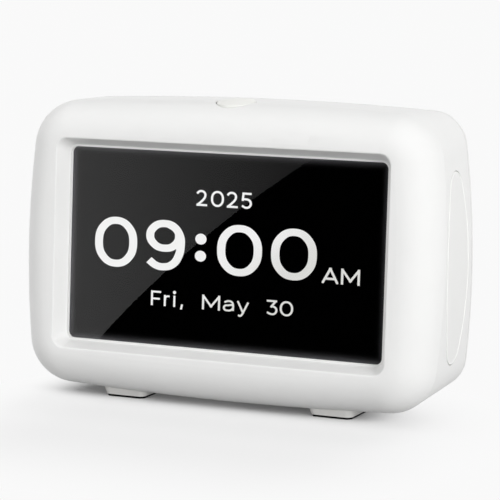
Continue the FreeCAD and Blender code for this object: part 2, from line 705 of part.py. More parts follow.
def front_housing():
    """Deep front shell: pillow front, screen tunnel, bosses, pockets and speaker slots."""
    shell = OUTER.cut(HOLLOW)
    backings = [side_span(side, TRIM_GAP + TRIM_MARGIN).common(sides(TRIM_SKIN)) for side in (-1, 1)]
    deep = TRIM_SKIN + TRIM_BACK_GAP + TRIM_BACKING
    backings = [backing.cut(sides(deep)) for backing in backings]
    added = [placed(screen_tunnel(), FACE)] + tunnel_ribs() + bracket_posts() + case_bosses()
    added += speaker_seat() + snooze_mount() + backings
    shell = fused(shell, *added)
    cuts = [placed(screen_cut(), FACE), snooze_bore()] + speaker_slots()
    for side in (-1, 1):
        cuts.append(side_span(side, TRIM_GAP).cut(sides(TRIM_SKIN + TRIM_BACK_GAP)))
        cuts += trim_pegs(side, PEG_RADIUS + PEG_CLEARANCE)
        cuts += foot_pegs(side, PEG_RADIUS + PEG_CLEARANCE)
    for seats, size, axis, axes in ((bracket_screw_seats(), SMALL_SCREW, REARWARD, FACE),
                                    (case_screw_seats(), CASE_SCREW, REARWARD, BACK),
                                    (snooze_screw_seats(), SMALL_SCREW, DOWN, MIDDLE),
                                    (speaker_screw_seats(), SHORT_SCREW, UP, MIDDLE)):
        cuts += [placed(pilot(size, seat, axis), axes) for seat in seats]
    shell = shell.cut(cuts)
    rim = [edge for edge in shell.Edges if on_reveal(edge)]
    return shell.makeFillet(REVEAL_EDGE, rim)


def on_reveal(edge):
    """True for the edges where the reveal meets the front rim."""
    flat = placed(edge, FACE.inverse())
    reach_x = WINDOW_WIDTH / 2 + LIP_WIDTH + 2 * REVEAL_SPREAD
    return on_plane(flat, -RECESS) and abs(flat.CenterOfMass.x) < reach_x and \
        abs(flat.CenterOfMass.z) < WINDOW_TALL / 2 + LIP_WIDTH + 2 * REVEAL_SPREAD - REVEAL_EDGE


def locating_lip():
    """Lip on the rear cover that centres it in the front housing."""
    outside = WALL + LIP_CLEARANCE
    inside = Part.Face(rear_outline(outside + LIP_WALL, -FAR / 2)).extrude(Vector(0, FAR, 0))
    start = -SEAM_DEPTH - LIP_REACH
    tongue = Part.Face(rear_outline(outside, start)).extrude(Vector(0, LIP_REACH + SEAM_GAP, 0))
    start = -SEAM_DEPTH + SEAM_GAP
    shoulder = Part.Face(rear_outline(outside - 2 * LIP_CLEARANCE, start))
    return fused(tongue, shoulder.extrude(Vector(0, LIP_BASE, 0))).cut(inside)


def button_spots():
    """Centres of the control buttons, in back axes."""
    middle = (len(BUTTON_NAMES) - 1) / 2
    return [(BUTTON_PITCH * (step - middle), BUTTON_Z) for step in range(len(BUTTON_NAMES))]


def usb_outline(grow, y0, y1):
    """Stadium-shaped plate round the power inlet's centre."""
    tall = USB_TALL + 2 * grow
    return plate(USB_WIDTH + 2 * grow, tall, tall / 2, y0, y1, 0, USB_Z)


def back_cover():
    """Rear shell with its lip, screw wells, board posts and openings."""
    cover = placed(rear_form().cut(HOLLOW), BACK.inverse())
    wells = [rod(WELL_RADIUS, -WELL_DEPTH, -WALL / 2, seat.x, seat.z) for seat in case_screw_seats()]
    posts = [rod(BOARD_POST_RADIUS, -BOARD_DEPTH, -WALL / 2, seat.x, seat.z) for seat in board_screw_seats()]
    cover = fused(cover, locating_lip(), *wells, *posts)
    cuts = [usb_outline(USB_CLEARANCE, -WALL - 1, 1)]
    cuts.append(plate(*USB_RECESS, USB_RECESS[1] / 2, -USB_RECESS_DEPTH, 1, 0, USB_Z))
    cuts += [rod(BUTTON_RADIUS + BUTTON_GAP, -WALL - 1, 1, x, z) for x, z in button_spots()]
    for step in range(VENT_COUNT):
        x = VENT_PITCH * (step - (VENT_COUNT - 1) / 2)
        cuts.append(plate(VENT_WIDTH, VENT_TALL, VENT_WIDTH / 2, -WALL - 1, 1, x, VENT_Z))
    for seat in case_screw_seats():
        cuts.append(rod(WELL_BORE_RADIUS, seat.y, 1, seat.x, seat.z))
        cuts.append(clearance_hole(CASE_SCREW, seat, REARWARD, WELL_FLOOR + 1))
    cuts += [pilot(SMALL_SCREW, seat, FORWARD) for seat in board_screw_seats()]
    return placed(cover.cut(cuts), BACK)


# ---- Display stack (face axes) --------------------------------------------------------------

def display_lens():
    return placed(plate(LENS_WIDTH, LENS_TALL, LENS_CORNER, 0, LENS_THICKNESS), FACE)


def lens_gasket():
    """Thin adhesive frame between lens and panel."""
    frame = box(PANEL_WIDTH, GASKET_THICKNESS, PANEL_TALL, 0, GASKET_Y)
    inner = box(PANEL_WIDTH - 2 * GASKET_WIDTH, GASKET_THICKNESS, PANEL_TALL - 2 * GASKET_WIDTH, 0, GASKET_Y)
    return placed(frame.cut(inner), FACE)


def lcd_panel():
    return placed(box(PANEL_WIDTH, PANEL_THICKNESS, PANEL_TALL, 0, PANEL_Y), FACE)


def lcd_tray():
    """Sheet metal tray, open to the front."""
    inner = box(PANEL_WIDTH - 2 * TRAY_SKIN, TRAY_DEPTH - TRAY_SKIN, PANEL_TALL - 2 * TRAY_SKIN, 0, TRAY_Y)
    return placed(box(PANEL_WIDTH, TRAY_DEPTH, PANEL_TALL, 0, TRAY_Y).cut(inner), FACE)


def light_guide():
    inset = 2 * (TRAY_SKIN + GUIDE_CLEARANCE)
    depth = TRAY_DEPTH - TRAY_SKIN - GUIDE_CLEARANCE
    y = TRAY_BACK - TRAY_SKIN - depth
    return placed(box(PANEL_WIDTH - inset, depth, PANEL_TALL - inset, 0, y), FACE)


def lcd_bracket():
    """Metal frame that clamps the display stack, with an ear on each post."""
    y0, y1 = TRAY_BACK, TRAY_BACK + BRACKET_THICKNESS
    frame = plate(*BRACKET_OUTER, BRACKET_CORNER, y0, y1)
    window = [size - 2 * BRACKET_BAND for size in BRACKET_OUTER]
    ears = []
    for level in (-1, 1):
        for side in (-1, 1):
            tall = BRACKET_POST_Z - BRACKET_OUTER[1] / 2 + BRACKET_EAR_WIDTH
            middle = BRACKET_POST_Z + BRACKET_EAR_WIDTH / 2 - tall / 2
            ears.append(plate(BRACKET_EAR_WIDTH, tall, BRACKET_EAR_WIDTH / 3, y0, y1,
                              side * BRACKET_POST_X, level * middle))
    frame = fused(frame, *ears)
    cuts = [plate(*window, BRACKET_CORNER, y0, y1)]
    through = BRACKET_THICKNESS + 1
    cuts += [clearance_hole(SMALL_SCREW, seat, REARWARD, through) for seat in bracket_screw_seats()]
    return placed(frame.cut(cuts), FACE)


# ---- Snooze button (middle axes) ------------------------------------------------------------

def snooze_button():
    """Domed cap with a retaining flange and a stem, hollow from below."""
    crown = TOP + SNOOZE_PROUD
    rim = crown - SNOOZE_DOME
    flange_top = COLLAR_END - FLANGE_GAP
    flange_low = flange_top - FLANGE_THICKNESS
    stem_end = SNOOZE_SWITCH_TOP + PLUNGER_PROUD
    radius, flange = SNOOZE_RADIUS, SNOOZE_RADIUS + FLANGE_REACH
    shoulder = radius - SNOOZE_EDGE
    ball = (shoulder ** 2 + SNOOZE_DOME ** 2) / (2 * SNOOZE_DOME)
    halfway = math.asin(shoulder / ball) / 2
    points = [Vector(0, 0, flange_low), Vector(flange, 0, flange_low), Vector(flange, 0, flange_top),
              Vector(radius, 0, flange_top), Vector(radius, 0, rim - SNOOZE_EDGE)]
    edges = [Part.makeLine(start, end) for start, end in zip(points, points[1:])]
    bend = SNOOZE_EDGE * (1 - math.sqrt(0.5))
    edges.append(arc(points[-1], Vector(radius - bend, 0, rim - bend), Vector(shoulder, 0, rim)))
    edges.append(arc(Vector(shoulder, 0, rim),
                     Vector(ball * math.sin(halfway), 0, crown - ball * (1 - math.cos(halfway))),
                     Vector(0, 0, crown)))
    edges.append(Part.makeLine(Vector(0, 0, crown), points[0]))
    cap = Part.Face(Part.Wire(edges)).revolve(Vector(), Vector(0, 0, 1), 360)
    hollow = post(radius - SNOOZE_SKIN, flange_low, rim - SNOOZE_SKIN)
    cap = cap.cut(hollow)
    cap = fused(cap, post(SNOOZE_STEM_RADIUS, stem_end, rim - SNOOZE_SKIN / 2))
    cap.translate(Vector(0, SNOOZE_Y, 0))
    return placed(cap, MIDDLE)


def switch(seat, axis):
    """Tact switch body on a board, with the hole its plunger runs in."""
    corner = Vector(-SWITCH_SIDE / 2, -SWITCH_SIDE / 2, 0)
    body = Part.makeBox(SWITCH_SIDE, SWITCH_SIDE, SWITCH_HEIGHT, corner)
    hole = post(PLUNGER_RADIUS + PLUNGER_GAP, PLUNGER_SUNK / 2, SWITCH_HEIGHT + 1)
    return aimed(body.cut(hole), seat, axis)


def plunger(seat, axis):
    """The switch's plunger, which the button's stem rests on."""
    body = post(PLUNGER_RADIUS, SWITCH_HEIGHT - PLUNGER_SUNK, SWITCH_HEIGHT + PLUNGER_PROUD)
    return aimed(body, seat, axis)


def snooze_board():
    width, depth = SNOOZE_BOARD_SIZE
    board = standing(plate(width, depth, BOARD_CORNER, 0, BOARD_THICKNESS))
    board.translate(Vector(0, SNOOZE_Y, SNOOZE_BOARD_Z - BOARD_THICKNESS))
    holes = [clearance_hole(SMALL_SCREW, seat, DOWN, BOARD_THICKNESS + 1) for seat in snooze_screw_seats()]
    return placed(board.cut(holes), MIDDLE)


# ---- Feet (clock axes) ----------------------------------------------------------------------

def foot(side):
    """Plinth that widens upwards, fits the case's floor, with a shallow seat for its pad."""
    low, high = PAD_THICKNESS - PAD_SUNK, PEG_TOP
    flare = (high - low) * math.tan(math.radians(FOOT_DRAFT))
    sizes = [(FOOT_WIDTH, FOOT_LENGTH), (FOOT_WIDTH + 2 * flare, FOOT_LENGTH + 2 * flare)]
    plinth = standing(flared(sizes[0], FOOT_CORNER, low, sizes[1], FOOT_CORNER + flare, high))
    middle = FOOT_FRONT + FOOT_LENGTH / 2
    plinth.translate(Vector(side * FOOT_X, middle, 0))
    plinth = plinth.cut([OUTER, rear_form()])
    plinth = max(plinth.Solids, key=lambda solid: solid.Volume)
    seat = standing(plate(FOOT_WIDTH - 2 * PAD_INSET + 2 * PAD_CLEARANCE,
                          FOOT_LENGTH - 2 * PAD_INSET + 2 * PAD_CLEARANCE,
                          FOOT_CORNER - PAD_INSET + PAD_CLEARANCE, 0, PAD_THICKNESS))
    seat.translate(Vector(side * FOOT_X, middle, 0))
    return fused(plinth.cut(seat), *foot_pegs(side, PEG_RADIUS))


def foot_pad(side):
    pad = standing(plate(FOOT_WIDTH - 2 * PAD_INSET, FOOT_LENGTH - 2 * PAD_INSET, FOOT_CORNER - PAD_INSET,
                         0, PAD_THICKNESS))
    pad.translate(Vector(side * FOOT_X, FOOT_FRONT + FOOT_LENGTH / 2, 0))
    return pad


# ---- Speaker (middle axes) ------------------------------------------------------------------

def speaker_plate(y0, y1):
    """Round-cornered plate of the speaker's outline, from height y0 to y1 over the seat."""
    shape = standing(plate(SPEAKER_WIDTH, SPEAKER_DEEP, SPEAKER_CORNER, y0, y1))
    shape.translate(Vector(SPEAKER_X, SPEAKER_Y, SEAT_Z))
    return shape


def speaker_gasket():
    """Foam strip between the speaker and its seat."""
    bore = standing(plate(SPEAKER_WIDTH - 2 * SEAT_WALL, SPEAKER_DEEP - 2 * SEAT_WALL,
                          SPEAKER_CORNER - SEAT_WALL, 0, SPEAKER_GASKET))
    bore.translate(Vector(SPEAKER_X, SPEAKER_Y, SEAT_Z))
    return placed(speaker_plate(0, SPEAKER_GASKET).cut(bore), MIDDLE)


def speaker_frame():
    """Steel frame: flange with ears, conical basket and rear disc."""
    flange = speaker_plate(SPEAKER_GASKET, SPEAKER_GASKET + SPEAKER_PLATE)
    z0, z1 = PLATE_Z, PLATE_Z + SPEAKER_PLATE
    strap = standing(plate(SPEAKER_WIDTH + 2 * (EAR_REACH + EAR_RADIUS), 2 * EAR_RADIUS, EAR_RADIUS, z0, z1))
    strap.translate(Vector(SPEAKER_X, SPEAKER_Y, 0))
    wide, narrow = CONE_RADIUS + BASKET_GAP, CONE_NECK + BASKET_GAP
    top = z1 + CONE_DEPTH
    basket = turned_on_z([(wide, z0), (wide + BASKET_SKIN, z1), (narrow + BASKET_SKIN, top),
                          (narrow + BASKET_SKIN, top + BASKET_SKIN), (0, top + BASKET_SKIN),
                          (0, top), (narrow, top), (wide, z1)])
    basket.translate(Vector(SPEAKER_X, SPEAKER_Y, 0))
    frame = fused(flange, strap).cut(post(wide, z0 - 1, z1 + 1, SPEAKER_X, SPEAKER_Y))
    frame = fused(frame, basket)
    holes = [clearance_hole(SHORT_SCREW, seat, UP, SPEAKER_PLATE + 1) for seat in speaker_screw_seats()]
    return placed(frame.cut(holes), MIDDLE)


def speaker_cone():
    """Thin paper cone inside the basket."""
    low, high = PLATE_Z, PLATE_Z + SPEAKER_PLATE + CONE_DEPTH
    cone = turned_on_z([(CONE_RADIUS, low), (CONE_RADIUS, low + CONE_SKIN), (CONE_NECK, high), (0, high),
                        (0, high - CONE_SKIN), (CONE_NECK - CONE_SKIN, high - CONE_SKIN),
                        (CONE_RADIUS - CONE_SKIN, low)])
    cone.translate(Vector(SPEAKER_X, SPEAKER_Y, 0))
    return placed(cone, MIDDLE)


def speaker_magnet():
    low = PLATE_Z + SPEAKER_PLATE + CONE_DEPTH + BASKET_SKIN
    return placed(post(MAGNET_RADIUS, low, low + MAGNET_HEIGHT, SPEAKER_X, SPEAKER_Y), MIDDLE)


# ---- Main board (back axes) -----------------------------------------------------------------

def main_board():
    board = plate(BOARD_WIDTH, BOARD_TALL, BOARD_CORNER, BOARD_FRONT, -BOARD_DEPTH, 0, BOARD_Z)
    holes = [clearance_hole(SMALL_SCREW, seat, FORWARD, BOARD_THICKNESS + 1) for seat in board_screw_seats()]
    return placed(board.cut(holes), BACK)


def on_board(part):
    """A chip's box on the board's front face."""
    width, height, depth = part["size"]
    return placed(box(width, depth, height, part["spot"][0], BOARD_FRONT - depth, part["spot"][1]), BACK)


def board_chips():
    """Processor, memory, coil and two capacitors, as separate solids."""
    solids = [on_board(part) for part in (PROCESSOR, MEMORY, COIL)]
    for x, z in CAPACITOR["spots"]:
        can = rod(CAPACITOR["radius"], BOARD_FRONT - CAPACITOR["height"], BOARD_FRONT, x, z)
        solids.append(placed(can, BACK))
    return Part.makeCompound(solids)


def coin_cell_holder():
    x, z = CELL_SPOT
    floor = BOARD_FRONT - HOLDER_FLOOR
    front = floor - CELL_THICKNESS + HOLDER_CLEARANCE
    cup = rod(CELL_RADIUS + HOLDER_CLEARANCE + HOLDER_WALL, front, BOARD_FRONT, x, z)
    return placed(cup.cut(rod(CELL_RADIUS + HOLDER_CLEARANCE, front - 1, floor, x, z)), BACK)


def coin_cell():
    floor = BOARD_FRONT - HOLDER_FLOOR
    return placed(rod(CELL_RADIUS, floor - CELL_THICKNESS, floor, *CELL_SPOT), BACK)


def usb_socket():
    """Power inlet: rounded metal shell with a tongue inside, open to the rear."""
    start, mouth = -BOARD_DEPTH, -USB_SET_BACK
    tube = usb_outline(0, start, mouth).cut(usb_outline(-USB_SKIN, start + USB_PLUG, mouth + 1))
    width, height = USB_TONGUE
    tongue = box(width, mouth - USB_TONGUE_SHORT - start, height, 0, start, USB_Z)
    return placed(fused(tube, tongue), BACK)


def control_seats():
    """Where the control switches stand on the board, in back axes."""
    return [Vector(x, -BOARD_DEPTH, z) for x, z in button_spots()]


def control_switches():
    """Four tact switches on the board, one behind each control button."""
    return Part.makeCompound([placed(switch(seat, REARWARD), BACK) for seat in control_seats()])


def control_button(spot):
    """Small round cap with a retaining flange and a stem."""
    x, z = spot
    flange_end = -WALL - FLANGE_GAP
    flange_start = flange_end - BUTTON_FLANGE_THICKNESS
    cap = rod(BUTTON_RADIUS, flange_start, BUTTON_PROUD, x, z)
    cap = cap.makeChamfer(BUTTON_EDGE, [edge for edge in cap.Edges if on_plane(edge, BUTTON_PROUD)])
    flange = rod(BUTTON_RADIUS + BUTTON_FLANGE_REACH, flange_start, flange_end, x, z)
    stem = rod(BUTTON_STEM_RADIUS, SWITCH_TOP + PLUNGER_PROUD, flange_start, x, z)
    return placed(fused(cap, flange, stem), BACK)


def ribbon_connector():
    width, height, depth = CONNECTOR["size"]
    body = box(width, depth, height, RIBBON_X, BOARD_FRONT - depth, CONNECTOR["z"])
    slot = box(RIBBON_WIDTH + 2 * RIBBON_THICKNESS, 2 * RIBBON_THICKNESS, height, RIBBON_X,
               BOARD_FRONT - depth / 2 - RIBBON_THICKNESS, CONNECTOR["z"] + height / 2)
    return placed(body.cut(slot), BACK)


def lcd_ribbon():
    """Flat cable from the tray's back to the connector: straight runs joined by tangent arcs."""
    depth = CONNECTOR["size"][2]
    on_tray = TRAY_BACK + RIBBON_THICKNESS / 2
    on_board = BOARD_FRONT - depth / 2
    corners = [FACE.multVec(Vector(0, on_tray, RIBBON_HEIGHT - RIBBON_FLAT)),
               FACE.multVec(Vector(0, on_tray, RIBBON_HEIGHT)),
               BACK.multVec(Vector(0, on_board, RIBBON_HEIGHT + RIBBON_BEND)),
               BACK.multVec(Vector(0, on_board, CONNECTOR["z"]))]
    path = bent_path(corners, RIBBON_BEND)
    across = corners[1] - corners[0]
    across.normalize()
    normal = across.cross(Vector(1, 0, 0)) * (RIBBON_THICKNESS / 2)
    start = corners[0] + Vector(RIBBON_X, 0, 0)
    half = Vector(RIBBON_WIDTH / 2, 0, 0)
    section = Part.makePolygon([start - half - normal, start + half - normal, start + half + normal,
                                start - half + normal, start - half - normal])
    path.translate(Vector(RIBBON_X, 0, 0))
    return path.makePipeShell([section], True, False)


def bent_path(corners, radius):
    """Polyline whose inner corners are arcs of one radius."""
    edges = []
    last = corners[0]
    for before, corner, after in zip(corners, corners[1:], corners[2:]):
        back, ahead = (before - corner).normalize(), (after - corner).normalize()
        half = back.getAngle(ahead) / 2
        reach = radius / math.tan(half)
        start, end = corner + back * reach, corner + ahead * reach
        centre = corner + (back + ahead).normalize() * (radius / math.sin(half))
        middle = centre + (corner - centre).normalize() * radius
        edges.append(Part.makeLine(last, start))
        edges.append(arc(start, middle, end))
        last = end
    edges.append(Part.makeLine(last, corners[-1]))
    return Part.Wire(edges)


# ---- Assembly -------------------------------------------------------------------------------

def screws(size, seats, axis, axes):
    """A group of equal screws as separate solids."""
    return Part.makeCompound([placed(screw(size, seat, axis), axes) for seat in seats])


def clock():
    """Every sub-part by name, in clock axes."""
    snooze_seat = Vector(0, SNOOZE_Y, SNOOZE_BOARD_Z)
    nodes = {
        "front_housing": front_housing(),
        "back_cover": back_cover(),
        "display_lens": display_lens(),
        "lens_gasket": lens_gasket(),
        "lcd_panel": lcd_panel(),
        "light_guide": light_guide(),
        "lcd_tray": lcd_tray(),
        "lcd_bracket": lcd_bracket(),
        "bracket_screws": screws(SMALL_SCREW, bracket_screw_seats(), REARWARD, FACE),
        "snooze_button": snooze_button(),
        "snooze_plunger": placed(plunger(snooze_seat, UP), MIDDLE),
        "snooze_switch": placed(switch(snooze_seat, UP), MIDDLE),
        "snooze_board": snooze_board(),
        "snooze_screws": screws(SMALL_SCREW, snooze_screw_seats(), DOWN, MIDDLE),
        "speaker_gasket": speaker_gasket(),
        "speaker_frame": speaker_frame(),
        "speaker_cone": speaker_cone(),
        "speaker_magnet": speaker_magnet(),
        "speaker_screws": screws(SHORT_SCREW, speaker_screw_seats(), UP, MIDDLE),
        "main_board": main_board(),
        "board_chips": board_chips(),
        "board_screws": screws(SMALL_SCREW, board_screw_seats(), FORWARD, BACK),
        "coin_cell_holder": coin_cell_holder(),
        "coin_cell": coin_cell(),
        "usb_socket": usb_socket(),
        "ribbon_connector": ribbon_connector(),
        "lcd_ribbon": lcd_ribbon(),
        "control_switches": control_switches(),
        "case_screws": screws(CASE_SCREW, case_screw_seats(), REARWARD, BACK),
    }
    for name, spot, seat in zip(BUTTON_NAMES, button_spots(), control_seats()):
        nodes["button_" + name] = control_button(spot)
        nodes["plunger_" + name] = placed(plunger(seat, REARWARD), BACK)
    for label, side in (("left", -1), ("right", 1)):
        nodes["side_panel_" + label] = side_panel(side)
        nodes["foot_" + label] = foot(side)
        nodes["foot_pad_" + label] = foot_pad(side)
    return nodes


def base_centre(shapes):
    """Middle of the base of the box round all shapes."""
    boxes = [shape.optimalBoundingBox(False) for shape in shapes]
    y = (min(b.YMin for b in boxes) + max(b.YMax for b in boxes)) / 2
    return Vector(0, y, min(b.ZMin for b in boxes))


def main():
    os.makedirs("parts", exist_ok=True)
    nodes = clock()
    origin = base_centre(nodes.values())
    for name, shape in nodes.items():
        shape.translate(-origin)
        shape.exportStep("parts/" + name + ".step")


main()
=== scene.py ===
import itertools
import logging
import math
from dataclasses import dataclass
from enum import Enum
from functools import cache
from typing import ClassVar

import bmesh
import bpy
from mathutils import Matrix, Vector


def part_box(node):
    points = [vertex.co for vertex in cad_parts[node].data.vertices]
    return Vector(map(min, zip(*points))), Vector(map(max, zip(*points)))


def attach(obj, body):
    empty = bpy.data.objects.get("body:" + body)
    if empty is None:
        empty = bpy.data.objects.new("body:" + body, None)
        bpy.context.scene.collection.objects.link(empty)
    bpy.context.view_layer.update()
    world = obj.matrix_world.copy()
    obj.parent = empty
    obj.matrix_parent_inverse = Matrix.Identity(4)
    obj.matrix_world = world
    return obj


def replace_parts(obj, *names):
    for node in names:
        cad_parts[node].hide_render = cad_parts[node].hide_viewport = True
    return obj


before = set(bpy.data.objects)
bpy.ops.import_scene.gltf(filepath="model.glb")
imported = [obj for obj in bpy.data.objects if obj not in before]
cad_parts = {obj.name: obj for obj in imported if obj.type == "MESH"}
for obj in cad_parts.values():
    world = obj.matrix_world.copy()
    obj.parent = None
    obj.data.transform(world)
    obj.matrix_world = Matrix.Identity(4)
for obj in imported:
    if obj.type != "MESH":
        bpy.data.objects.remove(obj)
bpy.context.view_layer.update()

# A free-standing day clock: white moulded case, wide screen behind a deep sloped reveal, round
# button on top, oval trim panels at the sides, speaker slots and two padded plinths below.
# Lengths are in metres in the frame's axes: +X to the viewer's right, +Y to the rear, +Z up.

LOG = logging.getLogger("day_clock")
MM = 0.001
WHITE = (1.0, 1.0, 1.0, 1.0)
BLACK = (0.0, 0.0, 0.0, 1.0)
CLOCK_BODY = "clock"
EDGE_ANGLE = math.radians(35.0)  # edges above it stay sharp
WELD = 1e-6  # points closer than this are joined

Tint = tuple[float, float, float]
Point = tuple[float, float]
Mesh = bmesh.types.BMesh
Socket = bpy.types.NodeSocket


# ---- Places taken from the frame ----


@dataclass(frozen=True)
class FaceAxes:
    """Axes of the leaning screen: x across, depth square into the screen, up along it."""

    lean: float = math.radians(4.15)
    lens_thickness: float = 1.8 * MM

    def inward(self) -> Vector:
        """Direction square into the screen."""
        return Vector((0.0, math.cos(self.lean), -math.sin(self.lean)))

    def window_middle(self) -> Vector:
        """Middle of the lens's front face."""
        low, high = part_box("display_lens")
        return (low + high) / 2 - self.inward() * (self.lens_thickness / 2)

    def matrix(self) -> Matrix:
        """Transform from face axes (x, depth, up) to the frame's axes."""
        return Matrix.Translation(self.window_middle()) @ Matrix.Rotation(-self.lean, 4, "X")


FACE = FaceAxes()


# ---- Shader nodes ----


class NodeGraph:
    """A node tree with short calls for the nodes that the finishes share."""

    def __init__(self, tree: bpy.types.NodeTree) -> None:
        """Take up a tree."""
        self.tree = tree

    def feed(self, target: Socket, value: object) -> None:
        """Link an output to an input, or set the input to a value.

        Args:
            target: The input.
            value: An output or a value.
        """
        if isinstance(value, Socket):
            self.tree.links.new(value, target)
        else:
            target.default_value = value

    def add(self, kind: str, inputs: dict[str | int, object], **settings: object) -> bpy.types.Node:
        """Add a node.

        Args:
            kind: Blender's node type, without ShaderNode.
            inputs: Its inputs, each an output or a value.
            settings: Attributes to set on it.

        Returns:
            The new node.
        """
        node = self.tree.nodes.new("ShaderNode" + kind)
        for name, value in settings.items():
            setattr(node, name, value)
        for name, value in inputs.items():
            self.feed(node.inputs[name], value)
        return node

    def math(self, operation: str, *values: object, use_clamp: bool = False) -> Socket:
        """Output of a math node over outputs or numbers."""
        return self.add("Math", dict(enumerate(values)), operation=operation, use_clamp=use_clamp).outputs[0]

    def vector(self, operation: str, *values: object) -> Socket:
        """Output of a vector math node over outputs or vectors."""
        outputs = self.add("VectorMath", dict(enumerate(values)), operation=operation).outputs
        return outputs["Value" if operation in ("LENGTH", "DOT_PRODUCT") else "Vector"]

    def ramp(self, value: Socket, low: float, high: float, span: Point = (0.0, 1.0),
             shape: str = "LINEAR") -> Socket:
        """Output that runs from low to high, by Blender's named shape, as a value crosses a span."""
        ends = {"From Min": span[0], "From Max": span[1], "To Min": low, "To Max": high}
        return self.add("MapRange", {"Value": value, **ends}, interpolation_type=shape).outputs["Result"]

    def tint(self, mask: Socket, low: Tint, high: Tint) -> Socket:
        """Output that blends from the low tint to the high one with a mask."""
        inputs = {"Factor": mask, "A": (*low, 1.0), "B": (*high, 1.0)}
        return self.add("Mix", inputs, data_type="RGBA").outputs["Result"]

    def seen(self) -> Socket:
        """Mask of the rays that show the surface itself: straight, mirrored or through glass.

        Returns:
            Output of one for such rays and zero for the rest.
        """
        rays = self.add("LightPath", {}).outputs
        mirrored = self.math("MAXIMUM", rays["Is Camera Ray"], rays["Is Glossy Ray"])
        return self.math("MAXIMUM", mirrored, rays["Is Transmission Ray"])


class SurfaceNodes(NodeGraph):
    """The nodes of a new material, round its Principled surface."""

    def __init__(self, name: str) -> None:
        """Start a material.

        Args:
            name: Name of the material.
        """
        self.material = bpy.data.materials.new(name)
        self.material.use_nodes = True
        super().__init__(self.material.node_tree)
        self.coordinates = self.add("TexCoord", {}).outputs["Object"]

    def set(self, **values: object) -> None:
        """Feed sockets of the Principled surface; underscores stand for spaces."""
        for name, value in values.items():
            self.feed(self.tree.nodes["Principled BSDF"].inputs[name.replace("_", " ")], value)

    def effect(self, group: bpy.types.NodeTree, **values: float) -> bpy.types.NodeOutputs:
        """Outputs of a shared effect on the piece's coordinates; underscores stand for spaces."""
        inputs = {name.replace("_", " "): value for name, value in values.items()}
        return self.add("Group", {"Vector": self.coordinates, **inputs}, node_tree=group).outputs

    def on_face(self) -> bpy.types.NodeOutputs:
        """Place on the leaning screen.

        Returns:
            Outputs X, Y and Z along its axes, from the lens's middle.
        """
        inputs = {"Vector": self.coordinates, "Location": FACE.window_middle(),
                  "Rotation": (-FACE.lean, 0.0, 0.0)}
        turned = self.add("Mapping", inputs, vector_type="TEXTURE")
        return self.add("SeparateXYZ", {"Vector": turned.outputs["Vector"]}).outputs

    def bump(self, height: Socket, distance: float) -> Socket:
        """Normal of a surface raised by a height, which stands for a distance in metres."""
        return self.add("Bump", {"Height": height, "Distance": distance, "Strength": 1.0}).outputs["Normal"]


def started_group(name: str, **inputs: float) -> tuple[NodeGraph, bpy.types.NodeOutputs]:
    """Start a node group with a vector input and named values.

    Args:
        name: Name of the group.
        inputs: Its value inputs with their defaults; underscores stand for spaces.

    Returns:
        Its nodes, and the outputs that carry its inputs.
    """
    tree = bpy.data.node_groups.new(name, "ShaderNodeTree")
    tree.interface.new_socket("Vector", in_out="INPUT", socket_type="NodeSocketVector")
    for label, value in inputs.items():
        socket = tree.interface.new_socket(label.replace("_", " "), in_out="INPUT",
                                           socket_type="NodeSocketFloat")
        socket.default_value = value
    return NodeGraph(tree), tree.nodes.new("NodeGroupInput").outputs


def ended_group(graph: NodeGraph, **outputs: Socket) -> bpy.types.NodeTree:
    """End a node group with named value outputs.

    Args:
        graph: Its nodes.
        outputs: What each output carries.

    Returns:
        The group.
    """
    for label in outputs:
        graph.tree.interface.new_socket(label, in_out="OUTPUT", socket_type="NodeSocketFloat")
    result = graph.tree.nodes.new("NodeGroupOutput")
    for label, output in outputs.items():
        graph.feed(result.inputs[label], output)
    return graph.tree


@cache
def moulded_skin() -> bpy.types.NodeTree:
    """Skin of moulded plastic: faint ripple, fine peel and slow drift in gloss.

    Returns:
        Group with the outputs Height and Drift.
    """
    graph, given = started_group("moulded_skin", Peel_Scale=900.0, Ripple_Scale=60.0, Peel_Share=0.5)
    ripple, peel = (graph.add("TexNoise", {"Vector": given["Vector"], "Scale": given[scale],
                                           "Detail": detail}).outputs["Fac"]
                    for scale, detail in (("Ripple Scale", 3.0), ("Peel Scale", 2.0)))
    height = graph.add("Mix", {"Factor": given["Peel Share"], "A": ripple, "B": peel}).outputs["Result"]
    return ended_group(graph, Height=height, Drift=graph.ramp(ripple, 0.0, 1.0, span=(0.3, 0.7)))


@cache
def drawn_lines() -> bpy.types.NodeTree:
    """Fine parallel lines along X, as on rolled or brushed metal.

    Returns:
        Group with the output Lines.
    """
    graph, given = started_group("drawn_lines", Scale=40.0)
    stretch = graph.add("Mapping", {"Vector": given["Vector"], "Scale": (1.0, 40.0, 40.0)})
    noise = graph.add("TexNoise", {"Vector": stretch.outputs["Vector"], "Scale": given["Scale"],
                                   "Detail": 4.0})
    return ended_group(graph, Lines=noise.outputs["Fac"])


# ---- Finishes ----


def shaded(tint: Tint, share: float) -> Tint:
    """A tint times a share."""
    return tuple(channel * share for channel in tint)


@dataclass(frozen=True)
class Finish:
    """A named finish, which says how its surface is wired."""

    name: str

    def build(self) -> bpy.types.Material:
        """Make the material.

        Returns:
            The material.
        """
        nodes = SurfaceNodes(self.name)
        self.wire(nodes)
        return nodes.material

    def wire(self, nodes: SurfaceNodes) -> None:
        """Wire the surface, each finish in its own way."""
        raise NotImplementedError


